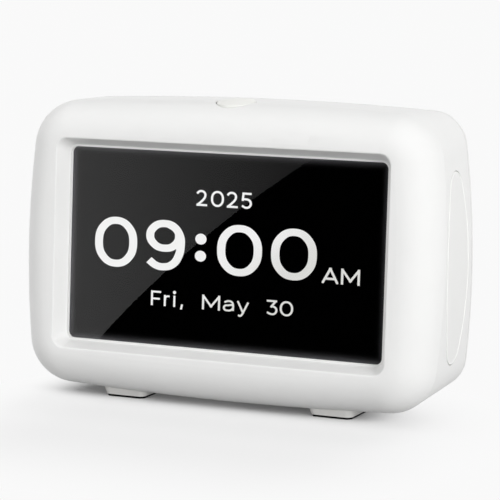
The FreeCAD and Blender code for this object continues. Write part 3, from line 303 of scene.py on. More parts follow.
@dataclass(frozen=True)
class MouldedPlastic(Finish):
    """Moulded plastic with a faint skin texture."""

    tint: Tint
    roughness: float = 0.28
    coat: float = 0.0
    peel_scale: float = 1400.0
    peel_depth: float = 0.004 * MM
    shade: float = 0.985
    gloss_drift: float = 0.08
    index: float = 1.46
    specular: float = 0.4
    coat_roughness: float = 0.12

    def wire(self, nodes: SurfaceNodes) -> None:
        """Let tint, gloss and relief follow the skin.

        Args:
            nodes: The material's nodes.
        """
        skin = nodes.effect(moulded_skin(), Peel_Scale=self.peel_scale)
        smooth, rough = (self.roughness * (1.0 + way * self.gloss_drift) for way in (-1, 1))
        nodes.set(IOR=self.index, Specular_IOR_Level=self.specular, Coat_Weight=self.coat,
                  Coat_Roughness=self.coat_roughness,
                  Base_Color=nodes.tint(skin["Drift"], shaded(self.tint, self.shade), self.tint),
                  Roughness=nodes.ramp(skin["Drift"], smooth, rough),
                  Normal=nodes.bump(skin["Height"], self.peel_depth))


@dataclass(frozen=True)
class PadRubber(Finish):
    """Matt black rubber with a grainy skin."""

    name: str = "pad_rubber"
    tint: Tint = (0.002, 0.002, 0.002)
    worn_share: float = 1.8
    peel_scale: float = 2600.0
    peel_share: float = 0.8
    peel_depth: float = 0.03 * MM
    roughness: Point = (0.62, 0.86)
    index: float = 1.4
    specular: float = 0.1

    def wire(self, nodes: SurfaceNodes) -> None:
        """Let tint, gloss and relief follow the grain.

        Args:
            nodes: The material's nodes.
        """
        skin = nodes.effect(moulded_skin(), Peel_Scale=self.peel_scale, Peel_Share=self.peel_share)
        nodes.set(IOR=self.index, Specular_IOR_Level=self.specular,
                  Base_Color=nodes.tint(skin["Drift"], self.tint, shaded(self.tint, self.worn_share)),
                  Roughness=nodes.ramp(skin["Height"], *self.roughness),
                  Normal=nodes.bump(skin["Height"], self.peel_depth))


@dataclass(frozen=True)
class WindowGlass(Finish):
    """Clear polished cover glass."""

    name: str = "window_glass"
    tint: Tint = (0.98, 0.985, 0.985)
    ripple_scale: float = 22.0
    roughness: Point = (0.0, 0.004)
    index: float = 1.5
    specular: float = 0.4

    def wire(self, nodes: SurfaceNodes) -> None:
        """Let the polish drift a little.

        Args:
            nodes: The material's nodes.
        """
        skin = nodes.effect(moulded_skin(), Ripple_Scale=self.ripple_scale)
        nodes.set(Base_Color=(*self.tint, 1.0), IOR=self.index, Transmission_Weight=1.0,
                  Specular_IOR_Level=self.specular, Roughness=nodes.ramp(skin["Drift"], *self.roughness))


@dataclass(frozen=True)
class ScreenFilm(Finish):
    """Dark display film that turns grey near its edges: that grey is painted light, standing in for light
    caught at the glass's edges.
    """

    name: str = "screen_film"
    half_width: float = 78.0 * MM
    half_height: float = 44.1 * MM
    corner: float = 1.2 * MM
    reach: float = 6.0 * MM
    falloff: float = 5.0
    # Painted light: the grey that the film takes near its edges, as if the glass's edges lit it
    painted_edge_light_tint: Tint = (0.155, 0.152, 0.162)
    field_tint: Tint = (0.0003, 0.0003, 0.0004)
    grain_scale: float = 3000.0
    roughness: Point = (0.55, 0.75)

    def wire(self, nodes: SurfaceNodes) -> None:
        """Paint light into the tint by the distance to the nearest edge of the film.

        Args:
            nodes: The material's nodes.
        """
        place = nodes.on_face()
        gaps = [nodes.math("SUBTRACT", half, nodes.math("ABSOLUTE", place[axis]))
                for axis, half in (("X", self.half_width), ("Z", self.half_height))]
        nearest = nodes.math("SMOOTH_MIN", *gaps, self.corner)
        # Painted light: the film turns grey towards its edges, standing in for light caught at the glass's
        # edges
        painted_edge_light = nodes.math("POWER", nodes.ramp(nearest, 1.0, 0.0, span=(0.0, self.reach)), self.falloff)
        grain = nodes.effect(moulded_skin(), Peel_Scale=self.grain_scale)
        nodes.set(Base_Color=nodes.tint(painted_edge_light, self.field_tint, self.painted_edge_light_tint), Specular_IOR_Level=0.0,
                  Roughness=nodes.ramp(grain["Height"], *self.roughness))


@dataclass(frozen=True)
class LitFigure(Finish):
    """Backlit figure, a little dimmer towards the display's lower right."""

    name: str = "lit_figure"
    bright_tint: Tint = (0.87, 0.87, 0.865)
    dim_tint: Tint = (0.69, 0.69, 0.665)
    off_tint: Tint = (0.02, 0.02, 0.02)
    dim_reach: float = 34.0 * MM
    slant: float = 0.7  # how much going right dims, where going down dims by one
    uneven: float = 0.1
    peel_scale: float = 700.0
    ripple_scale: float = 120.0
    roughness: float = 0.6

    def wire(self, nodes: SurfaceNodes) -> None:
        """Let the glow follow the place on the screen.

        Args:
            nodes: The material's nodes.
        """
        place = nodes.on_face()
        down = nodes.math("MULTIPLY", place["Z"], -1.0)
        dim = nodes.ramp(nodes.math("MULTIPLY_ADD", place["X"], self.slant, down), 0.0, 1.0,
                         span=(0.0, self.dim_reach), shape="SMOOTHSTEP")
        skin = nodes.effect(moulded_skin(), Peel_Scale=self.peel_scale, Ripple_Scale=self.ripple_scale)
        dim = nodes.math("MULTIPLY_ADD", skin["Drift"], self.uneven, dim, use_clamp=True)
        nodes.set(Base_Color=(*self.off_tint, 1.0), Roughness=self.roughness, Emission_Strength=1.0,
                  Emission_Color=nodes.tint(dim, self.bright_tint, self.dim_tint))


@dataclass(frozen=True)
class SheetMetal(Finish):
    """Rolled or plated metal with fine drawn lines."""

    tint: Tint
    roughness: float = 0.32
    lines: float = 60.0
    line_depth: float = 0.006 * MM
    shade: float = 0.8
    roughness_shares: Point = (0.8, 1.3)

    def wire(self, nodes: SurfaceNodes) -> None:
        """Let tint, gloss and relief follow the lines.

        Args:
            nodes: The material's nodes.
        """
        lines = nodes.effect(drawn_lines(), Scale=self.lines)["Lines"]
        smooth, rough = (self.roughness * share for share in self.roughness_shares)
        nodes.set(Metallic=1.0, Base_Color=nodes.tint(lines, shaded(self.tint, self.shade), self.tint),
                  Roughness=nodes.ramp(lines, smooth, rough), Normal=nodes.bump(lines, self.line_depth))


@dataclass(frozen=True)
class CircuitBoard(Finish):
    """Solder mask over copper tracks."""

    name: str = "circuit_board"
    mask_tint: Tint = (0.012, 0.10, 0.035)
    track_tint: Tint = (0.03, 0.19, 0.07)
    scale: float = 130.0
    track_width: float = 0.05
    track_offset: float = 0.35
    track_squash: float = 0.6
    track_depth: float = 0.03 * MM
    roughness: float = 0.35
    coat: float = 0.3

    def wire(self, nodes: SurfaceNodes) -> None:
        """Draw the tracks on the upright board.

        Args:
            nodes: The material's nodes.
        """
        turn = nodes.add("Mapping", {"Vector": nodes.coordinates, "Rotation": (math.pi / 2, 0.0, 0.0)})
        inputs = {"Vector": turn.outputs["Vector"], "Scale": self.scale, "Mortar Size": self.track_width}
        tracks = nodes.add("TexBrick", inputs, offset=self.track_offset, squash=self.track_squash)
        nodes.set(Roughness=self.roughness, Coat_Weight=self.coat,
                  Base_Color=nodes.tint(tracks.outputs["Fac"], self.mask_tint, self.track_tint),
                  Normal=nodes.bump(tracks.outputs["Fac"], self.track_depth))


class Slot(Enum):
    """Material slots of the record."""

    CASE = "case"
    BACK_CASE = "back_case"
    BUTTON = "button"
    REAR_BUTTON = "rear_button"
    TRIM = "trim"
    FOOT = "foot"
    PAD_RUBBER = "pad_rubber"
    LENS = "lens"
    FOAM = "foam"
    SCREEN = "screen"
    DIFFUSER = "diffuser"
    SHEET_STEEL = "sheet_steel"
    SCREW_STEEL = "screw_steel"
    SWITCH_BLACK = "switch_black"
    PLUNGER = "plunger"
    BOARD = "board"
    CHIP = "chip"
    HOLDER = "holder"
    CELL_STEEL = "cell_steel"
    SOCKET_STEEL = "socket_steel"
    RIBBON = "ribbon"
    CONE_PAPER = "cone_paper"
    MAGNET = "magnet"


def built_finishes() -> dict[Slot, bpy.types.Material]:
    """Build every finish once.

    Returns:
        The materials by slot.
    """
    white = (0.80, 0.80, 0.793)
    finishes = {
        Slot.CASE: MouldedPlastic("case_white", white, roughness=0.44),
        Slot.BACK_CASE: MouldedPlastic("rear_white", white, roughness=0.34, peel_depth=0.012 * MM),
        Slot.BUTTON: MouldedPlastic("button_white", (0.82, 0.82, 0.79), roughness=0.34),
        Slot.REAR_BUTTON: MouldedPlastic("rear_button_grey", (0.55, 0.55, 0.54), roughness=0.36),
        Slot.TRIM: MouldedPlastic("trim_white", (0.79, 0.79, 0.78), roughness=0.38),
        Slot.FOOT: MouldedPlastic("foot_white", (0.74, 0.735, 0.715), roughness=0.4),
        Slot.PAD_RUBBER: PadRubber(),
        Slot.LENS: WindowGlass(),
        Slot.FOAM: MouldedPlastic("foam_black", (0.01, 0.01, 0.01), 0.9, peel_scale=4000.0,
                                  peel_depth=0.05 * MM),
        Slot.SCREEN: MouldedPlastic("cell_black", (0.004, 0.004, 0.005), roughness=0.2),
        Slot.DIFFUSER: MouldedPlastic("diffuser_milk", (0.78, 0.79, 0.77), roughness=0.5),
        Slot.SHEET_STEEL: SheetMetal("sheet_steel", (0.56, 0.56, 0.57)),
        Slot.SCREW_STEEL: SheetMetal("screw_steel", (0.47, 0.47, 0.49), roughness=0.28, lines=200.0),
        Slot.SWITCH_BLACK: MouldedPlastic("switch_black", (0.012, 0.012, 0.013), roughness=0.45),
        Slot.PLUNGER: MouldedPlastic("plunger_black", (0.02, 0.02, 0.02), roughness=0.5),
        Slot.BOARD: CircuitBoard(),
        Slot.CHIP: MouldedPlastic("chip_epoxy", (0.015, 0.015, 0.017), roughness=0.55,
                                  peel_scale=5000.0, peel_depth=0.01 * MM),
        Slot.HOLDER: MouldedPlastic("holder_black", (0.025, 0.025, 0.028), roughness=0.45),
        Slot.CELL_STEEL: SheetMetal("cell_steel", (0.66, 0.66, 0.67), roughness=0.2, lines=300.0),
        Slot.SOCKET_STEEL: SheetMetal("socket_steel", (0.52, 0.52, 0.53), roughness=0.25),
        Slot.RIBBON: MouldedPlastic("ribbon_amber", (0.42, 0.20, 0.04), roughness=0.3, coat=0.4),
        Slot.CONE_PAPER: MouldedPlastic("cone_paper", (0.03, 0.03, 0.03), 0.85, peel_scale=3500.0,
                                        peel_depth=0.04 * MM),
        Slot.MAGNET: MouldedPlastic("magnet_oxide", (0.035, 0.035, 0.038), roughness=0.6),
    }
    return {slot: finish.build() for slot, finish in finishes.items()}


# ---- Meshes ----


def finished_piece(name: str, mesh: Mesh, material: bpy.types.Material) -> bpy.types.Object:
    """Turn a mesh into an object of the scene.

    Args:
        name: Name of the piece.
        mesh: Its mesh, in the frame's axes; it is freed.
        material: Its finish.

    Returns:
        The new object.
    """
    data = bpy.data.meshes.new(name)
    mesh.to_mesh(data)
    mesh.free()
    data.materials.append(material)
    piece = bpy.data.objects.new(name, data)
    bpy.context.scene.collection.objects.link(piece)
    return piece


def smooth_faces(mesh: Mesh, edge_angle: float = EDGE_ANGLE) -> None:
    """Shade a mesh smooth, except over its sharper edges.

    Args:
        mesh: The mesh.
        edge_angle: Angle between faces above which an edge stays sharp.
    """
    for face in mesh.faces:
        face.smooth = True
    for edge in mesh.edges:
        edge.smooth = len(edge.link_faces) == 2 and edge.calc_face_angle(0.0) < edge_angle


def merged_copy(node: str) -> Mesh:
    """Copy of a frame node's mesh with its loose triangles joined.

    Args:
        node: Name of the node.

    Returns:
        The copy, to be freed by the caller.
    """
    mesh = bmesh.new()
    mesh.from_mesh(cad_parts[node].data)
    bmesh.ops.remove_doubles(mesh, verts=mesh.verts, dist=WELD)
    return mesh


def grid(width: float, height: float, segments: int = 1) -> Mesh:
    """Flat sheet round the origin.

    Args:
        width: Its width along X.
        height: Its height along Y.
        segments: Faces along each side.

    Returns:
        Its mesh.
    """
    mesh = bmesh.new()
    bmesh.ops.create_grid(mesh, x_segments=segments, y_segments=segments, size=0.5)
    bmesh.ops.scale(mesh, verts=mesh.verts, vec=(width, height, 1.0))
    return mesh


def turned(across: Vector, up: Vector, centre: Vector) -> Matrix:
    """Transform that takes X to across, Y to up and the origin to the centre."""
    turn = Matrix((across, up, across.cross(up))).transposed().to_4x4()
    return Matrix.Translation(centre) @ turn


def evaluated_mesh(shape: bpy.types.Object) -> Mesh:
    """Mesh of a curve or of an object with modifiers.

    Args:
        shape: The object, which is dropped.

    Returns:
        Its mesh.
    """
    bpy.context.view_layer.update()
    data = bpy.data.meshes.new_from_object(shape.evaluated_get(bpy.context.evaluated_depsgraph_get()))
    mesh = bmesh.new()
    mesh.from_mesh(data)
    bpy.data.meshes.remove(data)
    bpy.data.objects.remove(shape)
    return mesh


def curve_mesh(curve: bpy.types.Curve) -> Mesh:
    """Turn a curve into a mesh and drop the curve.

    Args:
        curve: The curve's data.

    Returns:
        Its mesh.
    """
    holder = bpy.data.objects.new(curve.name, curve)
    bpy.context.scene.collection.objects.link(holder)
    mesh = evaluated_mesh(holder)
    bpy.data.curves.remove(curve)
    return mesh


# ---- Sub-assemblies ----


@dataclass
class SubAssembly:
    """Parts of the clock that are dressed and detailed together."""

    nodes: ClassVar[dict[Slot, tuple[str, ...]]] = {}

    finishes: dict[Slot, bpy.types.Material]

    def build(self) -> None:
        """Dress the frame's nodes, then add the pieces that the frame doesn't hold."""
        for slot, names in self.nodes.items():
            for name in names:
                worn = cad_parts[name].data.materials
                worn.clear()
                worn.append(self.finishes[slot])
                LOG.info("dressed %s as %s", name, slot.value)
        self.add_pieces()

    def add_pieces(self) -> None:
        """Add nothing: a sub-assembly with pieces of its own says which."""

    def keep(self, name: str, mesh: Mesh, slot: Slot,
             finish: bpy.types.Material | None = None, body: str = CLOCK_BODY) -> bpy.types.Object:
        """Make a finished mesh a piece that rides on a body.

        Args:
            name: Name of the piece.
            mesh: Its mesh in the frame's axes; it is freed.
            slot: The slot that it takes its finish from.
            finish: Its finish, where it isn't the slot's own.
            body: The body that carries it.

        Returns:
            The piece.
        """
        piece = finished_piece(name, mesh, finish or self.finishes[slot])
        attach(piece, body)
        LOG.info("made %s with %d faces", name, len(piece.data.polygons))
        return piece


@dataclass
class CaseShell(SubAssembly):
    """Front housing with the speaker's slots, and the back cover."""

    nodes = {Slot.CASE: ("front_housing",), Slot.BACK_CASE: ("back_cover",)}


@dataclass
class SidePanels(SubAssembly):
    """Oval trim panels, each with a fine raised bead along its rim."""

    nodes = {Slot.TRIM: ("side_panel_left", "side_panel_right")}

    # Painted highlight: the bead's tint is lighter than the trim's, so that its rim reads as a light line
    bead: MouldedPlastic = MouldedPlastic("bead_white", (0.89, 0.89, 0.875), roughness=0.32)
    bead_radius: float = 0.3 * MM
    bead_sink: float = 0.1 * MM
    bead_steps: int = 4
    face_lean: float = math.radians(28.0)

    def add_pieces(self) -> None:
        """Run a bead round both panels."""
        # The bead's finish carries a painted highlight: a lighter white than the trim it runs round
        painted_highlight_finish = self.bead.build()
        for side, label in ((-1, "left"), (1, "right")):
            rim = self._rim("side_panel_" + label, side)
            self.keep("panel_bead_" + label, self._bead(rim, side), Slot.TRIM, painted_highlight_finish)

    def _rim(self, node: str, side: int) -> list[Vector]:
        """Points in order round the edge of a panel's outer face.

        Args:
            node: Name of the panel.
            side: 1 for the right panel, -1 for the left.

        Returns:
            The points.
        """
        mesh = merged_copy(node)
        level = math.cos(self.face_lean)
        rim = [edge for edge in mesh.edges
               if sorted(face.normal.x * side > level for face in edge.link_faces) == [False, True]]
        bmesh.ops.delete(mesh, geom=list(set(mesh.edges) - set(rim)), context="EDGES")
        start = max(mesh.verts, key=lambda vertex: (len(vertex.link_edges) == 2, vertex.co.z))
        points, edge, vertex = [], start.link_edges[0], start
        while not points or vertex != start:
            points.append(vertex.co.copy())
            vertex = edge.other_vert(vertex)
            edge = next(other for other in vertex.link_edges if other != edge)
        mesh.free()
        return points

    def _bead(self, rim: list[Vector], side: int) -> Mesh:
        """Round bead along a rim, sunk a little into the panel.

        Args:
            rim: Points round the rim.
            side: 1 for the right panel, -1 for the left.

        Returns:
            The bead's mesh.
        """
        curve = bpy.data.curves.new("bead", "CURVE")
        curve.dimensions = "3D"
        curve.bevel_depth = self.bead_radius
        curve.bevel_resolution = self.bead_steps
        spline = curve.splines.new("POLY")
        spline.points.add(len(rim) - 1)
        spline.use_cyclic_u = True
        for knot, point in zip(spline.points, rim):
            knot.co = (point.x - side * self.bead_sink, point.y, point.z, 1.0)
        mesh = curve_mesh(curve)
        bmesh.ops.remove_doubles(mesh, verts=mesh.verts, dist=WELD)
        bmesh.ops.recalc_face_normals(mesh, faces=mesh.faces)
        smooth_faces(mesh, math.pi)
        return mesh


@dataclass
class SnoozeKey(SubAssembly):
    """Round cap whose crown leans with the case's top, and the plunger, switch and board below it."""

    nodes = {Slot.BUTTON: ("snooze_button",), Slot.PLUNGER: ("snooze_plunger",),
             Slot.SWITCH_BLACK: ("snooze_switch",), Slot.BOARD: ("snooze_board",),
             Slot.SCREW_STEEL: ("snooze_screws",)}

    crown_lean: float = math.radians(6.5)
    crown_drop: float = 0.1 * MM
    crown_depth: float = 1.7 * MM

    def add_pieces(self) -> None:
        """Make the cap from the frame's, with its crown sheared to the case's slope."""
        low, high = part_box("snooze_button")
        mesh = merged_copy("snooze_button")
        crown = [vertex for vertex in mesh.verts if vertex.co.z > high.z - self.crown_depth]
        home = Matrix.Translation((0.0, (low.y + high.y) / 2, 0.0))
        drop = Matrix.Translation((0.0, 0.0, -self.crown_drop))
        lean = Matrix.Identity(4)
        lean[2][1] = math.tan(self.crown_lean)
        bmesh.ops.transform(mesh, matrix=drop @ home @ lean @ home.inverted(), verts=crown)
        smooth_faces(mesh)
        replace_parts(self.keep("snooze_cap", mesh, Slot.BUTTON, body="snooze"), "snooze_button")


@dataclass
class Feet(SubAssembly):
    """Two tapered plinths on dark rubber pads."""

    nodes = {Slot.FOOT: ("foot_left", "foot_right"), Slot.PAD_RUBBER: ("foot_pad_left", "foot_pad_right")}


@dataclass
class RearControls(SubAssembly):
    """Four small rear buttons with their plungers and switches, and the power inlet."""

    nodes = {Slot.REAR_BUTTON: ("button_set", "button_up", "button_down", "button_back"),
             Slot.PLUNGER: ("plunger_set", "plunger_up", "plunger_down", "plunger_back"),
             Slot.SWITCH_BLACK: ("control_switches",), Slot.SOCKET_STEEL: ("usb_socket",)}


@dataclass
class Speaker(SubAssembly):
    """Small loudspeaker over the slots in the bottom."""

    nodes = {Slot.SHEET_STEEL: ("speaker_frame",), Slot.CONE_PAPER: ("speaker_cone",),
             Slot.MAGNET: ("speaker_magnet",), Slot.FOAM: ("speaker_gasket",),
             Slot.SCREW_STEEL: ("speaker_screws",)}


@dataclass
class MainBoard(SubAssembly):
    """Circuit board with its chips, coin cell, ribbon and screws."""

    nodes = {Slot.BOARD: ("main_board",), Slot.CHIP: ("board_chips",), Slot.CELL_STEEL: ("coin_cell",),
             Slot.HOLDER: ("coin_cell_holder", "ribbon_connector"), Slot.RIBBON: ("lcd_ribbon",),
             Slot.SCREW_STEEL: ("board_screws",)}


@dataclass
class CaseScrews(SubAssembly):
    """Four long screws that close the case, sunk in the back's wells, with a cross recess in each head."""

    nodes = {Slot.SCREW_STEEL: ("case_screws",)}

    slot_length: float = 3.2 * MM
    slot_width: float = 0.75 * MM
    slot_depth: float = 1.2 * MM
    floor_share: float = 0.55
    end_facing: float = 0.9

    def add_pieces(self) -> None:
        """Make the screws from the frame's, with their recesses cut."""
        mesh = merged_copy("case_screws")
        low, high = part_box("case_screws")
        level = (low.z + high.z) / 2
        ends = [(face, face.calc_center_median()) for face in mesh.faces if face.normal.y > self.end_facing]
        cutter = bmesh.new()
        for right, upper in itertools.product((False, True), repeat=2):
            end = [face for face, middle in ends if (middle.x > 0) == right and (middle.z > level) == upper]
            corners = [vertex.co for vertex in {vertex for face in end for vertex in face.verts}]
            self._cross(cutter, sum(corners, Vector()) / len(corners), end[0].normal)
        steel = self.finishes[Slot.SCREW_STEEL]
        screws = finished_piece("plain_screws", mesh, steel)
        cut = screws.modifiers.new("recesses", "BOOLEAN")
        cut.operation = "DIFFERENCE"
        cut.solver = "EXACT"
        cut.use_self = True
        cut.object = finished_piece("crosses", cutter, steel)
        mesh = evaluated_mesh(screws)
        for used in ("plain_screws", "crosses"):
            bpy.data.meshes.remove(bpy.data.meshes[used])  # its object goes with it
        smooth_faces(mesh)
        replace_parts(self.keep("case_screws_cut", mesh, Slot.SCREW_STEEL), "case_screws")

    def _cross(self, cutter: Mesh, middle: Vector, facing: Vector) -> None:
        """Add a cross of two tapered slots to the cutter.

        Args:
            cutter: The cutter's mesh.
            middle: Middle of the head's end.
            facing: Direction that the head's end faces.
        """
        place = Matrix.Translation(middle) @ facing.to_track_quat("Y", "Z").to_matrix().to_4x4()
        for length, width in ((self.slot_length, self.slot_width), (self.slot_width, self.slot_length)):
            made = bmesh.ops.create_cube(cutter, size=1.0, matrix=Matrix.Diagonal(
                (length, 2 * self.slot_depth, width, 1.0)))["verts"]
            floor = [vertex for vertex in made if vertex.co.y < 0]
            bmesh.ops.scale(cutter, vec=(self.floor_share, 1.0, self.floor_share), verts=floor)
            bmesh.ops.transform(cutter, matrix=place, verts=made)


@dataclass(frozen=True)
class Stroke:
    """One pass of the pen along a centre line, in a unit box."""

    points: tuple[Point, ...]
    closed: bool = False
    curved: bool = True


OVAL = Stroke(((0.5, 1.0), (0.86, 0.86), (1.0, 0.5), (0.86, 0.14), (0.5, 0.0), (0.14, 0.14), (0.0, 0.5),
               (0.14, 0.86)), closed=True)


def straight(*points: Point) -> tuple[Stroke, ...]:
    """Straight passes of the pen from point to point."""
    return tuple(Stroke(ends, curved=False) for ends in itertools.pairwise(points))


GLYPHS: dict[str, tuple[Stroke, ...]] = {
    "0": (OVAL,),
    "2": (Stroke(((0.0, 0.80), (0.16, 0.94), (0.48, 1.0), (0.80, 0.90), (0.90, 0.70), (0.80, 0.50),
                  (0.46, 0.24), (0.06, 0.0))),
          *straight((0.06, 0.0), (1.0, 0.0))),
    "3": (*straight((0.06, 1.0), (0.94, 1.0)), *straight((0.90, 1.0), (0.46, 0.58)),
          Stroke(((0.36, 0.58), (0.72, 0.57), (0.97, 0.42), (0.98, 0.20), (0.76, 0.03), (0.44, 0.0),
                  (0.0, 0.12)))),
    "5": (*straight((0.14, 1.0), (0.94, 1.0)), *straight((0.14, 1.0), (0.08, 0.56)),
          Stroke(((0.06, 0.58), (0.42, 0.60), (0.82, 0.53), (1.0, 0.31), (0.84, 0.07), (0.46, 0.0),
                  (0.0, 0.13)))),
    "9": (Stroke(((0.468, 1.0), (0.80, 0.917), (0.935, 0.716), (0.80, 0.516), (0.468, 0.433),
                  (0.137, 0.516), (0.0, 0.716), (0.137, 0.917)), closed=True),
          Stroke(((0.60, 0.99), (0.83, 0.89), (0.97, 0.72), (0.995, 0.52), (0.93, 0.27), (0.74, 0.07),
                  (0.45, 0.0), (0.20, 0.03), (-0.02, 0.14)))),
    "A": (*straight((0.0, 0.0), (0.5, 1.0), (1.0, 0.0)), *straight((0.2, 0.27), (0.8, 0.27))),
    "F": (*straight((0.0, 0.0), (0.0, 1.0), (1.0, 1.0)), *straight((0.0, 0.46), (0.86, 0.46))),
    "M": straight((0.0, 0.0), (0.0, 1.0), (0.5, 0.2), (1.0, 1.0), (1.0, 0.0)),
    "a": (Stroke(((1.0, 0.0), (1.0, 0.55), (0.88, 0.88), (0.52, 1.0), (0.06, 0.86))),
          Stroke(((1.0, 0.52), (0.46, 0.55), (0.06, 0.42), (0.06, 0.12), (0.42, 0.0), (0.82, 0.10),
                  (1.0, 0.34)), closed=True)),
    "i": straight((0.5, 0.0), (0.5, 1.0)),
    "r": (*straight((0.0, 0.0), (0.0, 1.0)), Stroke(((0.0, 0.55), (0.22, 0.90), (0.95, 1.0)))),
    "y": (*straight((0.0, 1.0), (0.50, 0.26)),
          Stroke(((1.0, 1.0), (0.62, 0.42), (0.42, 0.12), (0.24, 0.0), (0.04, 0.05)))),
    ",": straight((0.7, 1.0), (0.2, 0.0)),
    ".": (OVAL,),
}


@dataclass(frozen=True)
class FigureRow:
    """A row of figures between two heights: each with its left and right edge, in millimetres."""

    name: str
    bottom: float
    top: float
    pen: Point
    spans: tuple[tuple[str, float, float], ...]


@dataclass
class DisplayWindow(SubAssembly):
    """Lens and display cell, with the dark film behind the lens and the lit figures on it."""

    nodes = {Slot.LENS: ("display_lens",), Slot.FOAM: ("lens_gasket",), Slot.SCREEN: ("lcd_panel",),
             Slot.DIFFUSER: ("light_guide",), Slot.SHEET_STEEL: ("lcd_tray", "lcd_bracket"),
             Slot.SCREW_STEEL: ("bracket_screws",)}

    # Drawn in millimetres from the window's middle; a place is a shift across and a depth behind
    # the lens's front.
    film_place: Point = (0.0, 1.74)
    figure_place: Point = (-0.20, 1.70)
    film_size: Point = (160.0, 92.0)
    film_segments: int = 2
    samples: int = 10
    cut_margin: float = 1e-5
    weld: float = 1e-4
    dot: Point = (5.6, 4.9)
    dot_segments: int = 48
    dot_centres: tuple[Point, ...] = ((-12.0, 5.2), (-12.0, -2.5))
    rows: tuple[FigureRow, ...] = (
        FigureRow("year", 20.1, 27.3, (1.1, 0.96),
                  (("2", -15.0, -9.4), ("0", -7.6, -1.1), ("2", 0.1, 5.8), ("5", 7.3, 12.7))),
        FigureRow("time", -10.2, 12.7, (4.1, 3.25),
                  (("0", -66.0, -44.2), ("9", -39.7, -19.9), ("0", -3.8, 18.4), ("0", 22.8, 45.0))),
        FigureRow("half_day", -10.4, -3.4, (1.15, 0.98), (("A", 47.7, 55.6), ("M", 56.8, 65.8))),
        FigureRow("date_capitals", -26.4, -19.7, (1.03, 0.86),
                  (("F", -36.4, -31.3), ("M", -10.5, -1.5), ("3", 21.2, 26.8), ("0", 27.9, 34.4))),
        FigureRow("date_letters", -26.4, -21.3, (1.0, 0.82),
                  (("r", -29.8, -26.3), ("i", -25.2, -23.8), ("a", -0.1, 5.5))),
        FigureRow("date_tail", -28.4, -21.3, (1.0, 0.82), (("y", 6.9, 12.9),)),
        FigureRow("date_comma", -27.3, -25.0, (1.0, 0.8), ((",", -21.6, -19.9),)),
        FigureRow("date_dot", -20.6, -19.1, (0.75, 0.7), ((".", -25.3, -23.7),)),
    )

    def add_pieces(self) -> None:
        """Make the film, the rows and the two dots between hours and minutes."""
        film = grid(*self.film_size, segments=self.film_segments)
        self._show("screen_film", film, self.film_place, ScreenFilm().build())
        lit = LitFigure().build()
        for row in self.rows:
            mesh = bmesh.new()
            for glyph, left, right in row.spans:
                self._glyph(mesh, glyph, left, right, row)
            self._show("figures_" + row.name, mesh, self.figure_place, lit)
        mesh = bmesh.new()
        for centre in self.dot_centres:
            oval = Matrix.Translation((*centre, 0.0)) @ Matrix.Diagonal((*self.dot, 1.0, 1.0))
            bmesh.ops.create_circle(mesh, cap_ends=True, segments=self.dot_segments, radius=0.5, matrix=oval)
        self._show("figures_dots", mesh, self.figure_place, lit)

    def _show(self, name: str, mesh: Mesh, place: Point, finish: bpy.types.Material) -> None:
        """Carry a flat drawing to its place in the window, facing out, as a piece.

        Args:
            name: Name of the piece.
            mesh: The drawing, x across and y up; it is freed.
            place: Where it lies in the window.
            finish: Its finish.
        """
        upright = Matrix.Translation((*place, 0.0)) @ Matrix.Rotation(math.pi / 2, 4, "X")
        bmesh.ops.transform(mesh, matrix=FACE.matrix() @ Matrix.Scale(MM, 4) @ upright, verts=mesh.verts)
        self.keep(name, mesh, Slot.SCREEN, finish)

    def _glyph(self, mesh: Mesh, glyph: str, left: float, right: float, row: FigureRow) -> None:
        """Draw one figure into its box, with flat ends at the box's edges.

        Args:
            mesh: Drawing that gets the figure.
            glyph: The figure.
            left: Left edge of its box.
            right: Right edge of its box.
            row: The row that it stands in.
        """
        pen = Vector(row.pen)
        low = Vector((left, row.bottom)) + pen / 2
        size = Vector((right - left, row.top - row.bottom)) - pen
        drawing = bmesh.new()
        for stroke in GLYPHS[glyph]:
            centre = [low + Vector((x * size.x, y * size.y)) for x, y in stroke.points]
            if stroke.curved:
                centre = self._smooth(centre, stroke.closed)
            else:
                centre = self._overrun(centre, pen)
            self._ribbon(drawing, centre, pen, stroke.closed)
        for point, normal in (((left, row.bottom), (-1, 0)), ((left, row.bottom), (0, -1)),
                              ((right, row.top), (1, 0)), ((right, row.top), (0, 1))):
            geometry = drawing.verts[:] + drawing.edges[:] + drawing.faces[:]
            bmesh.ops.bisect_plane(drawing, geom=geometry, dist=self.cut_margin, plane_co=(*point, 0.0),
                                   plane_no=(*normal, 0.0), clear_outer=True)
        data = bpy.data.meshes.new("drawing")
        drawing.to_mesh(data)
        drawing.free()
        mesh.from_mesh(data)
        bpy.data.meshes.remove(data)

    def _overrun(self, centre: list[Vector], pen: Vector) -> list[Vector]:
        """Run a straight stroke past both ends by half the pen, so that its box cuts it flat."""
        reach = (centre[-1] - centre[0]).normalized() * (max(pen) / 2)
        return [centre[0] - reach, centre[-1] + reach]

    def _smooth(self, centre: list[Vector], closed: bool) -> list[Vector]:
        """Round a centre line through its points.

        Args:
            centre: The points.
            closed: Whether the line returns to its start.

        Returns:
            Points along the smooth line; a closed line repeats its first point at the end.
        """
        curve = bpy.data.curves.new("centre_line", "CURVE")
        curve.dimensions = "2D"
        curve.fill_mode = "NONE"
        spline = curve.splines.new("BEZIER")
        spline.bezier_points.add(len(centre) - 1)
        spline.use_cyclic_u = closed
        spline.resolution_u = self.samples
        for knot, point in zip(spline.bezier_points, centre):
            knot.co = (*point, 0.0)
            knot.handle_left_type = knot.handle_right_type = "AUTO"
        mesh = curve_mesh(curve)
        smooth = [vertex.co.to_2d() for vertex in mesh.verts]
        mesh.free()
        return smooth + smooth[:1] if closed else smooth

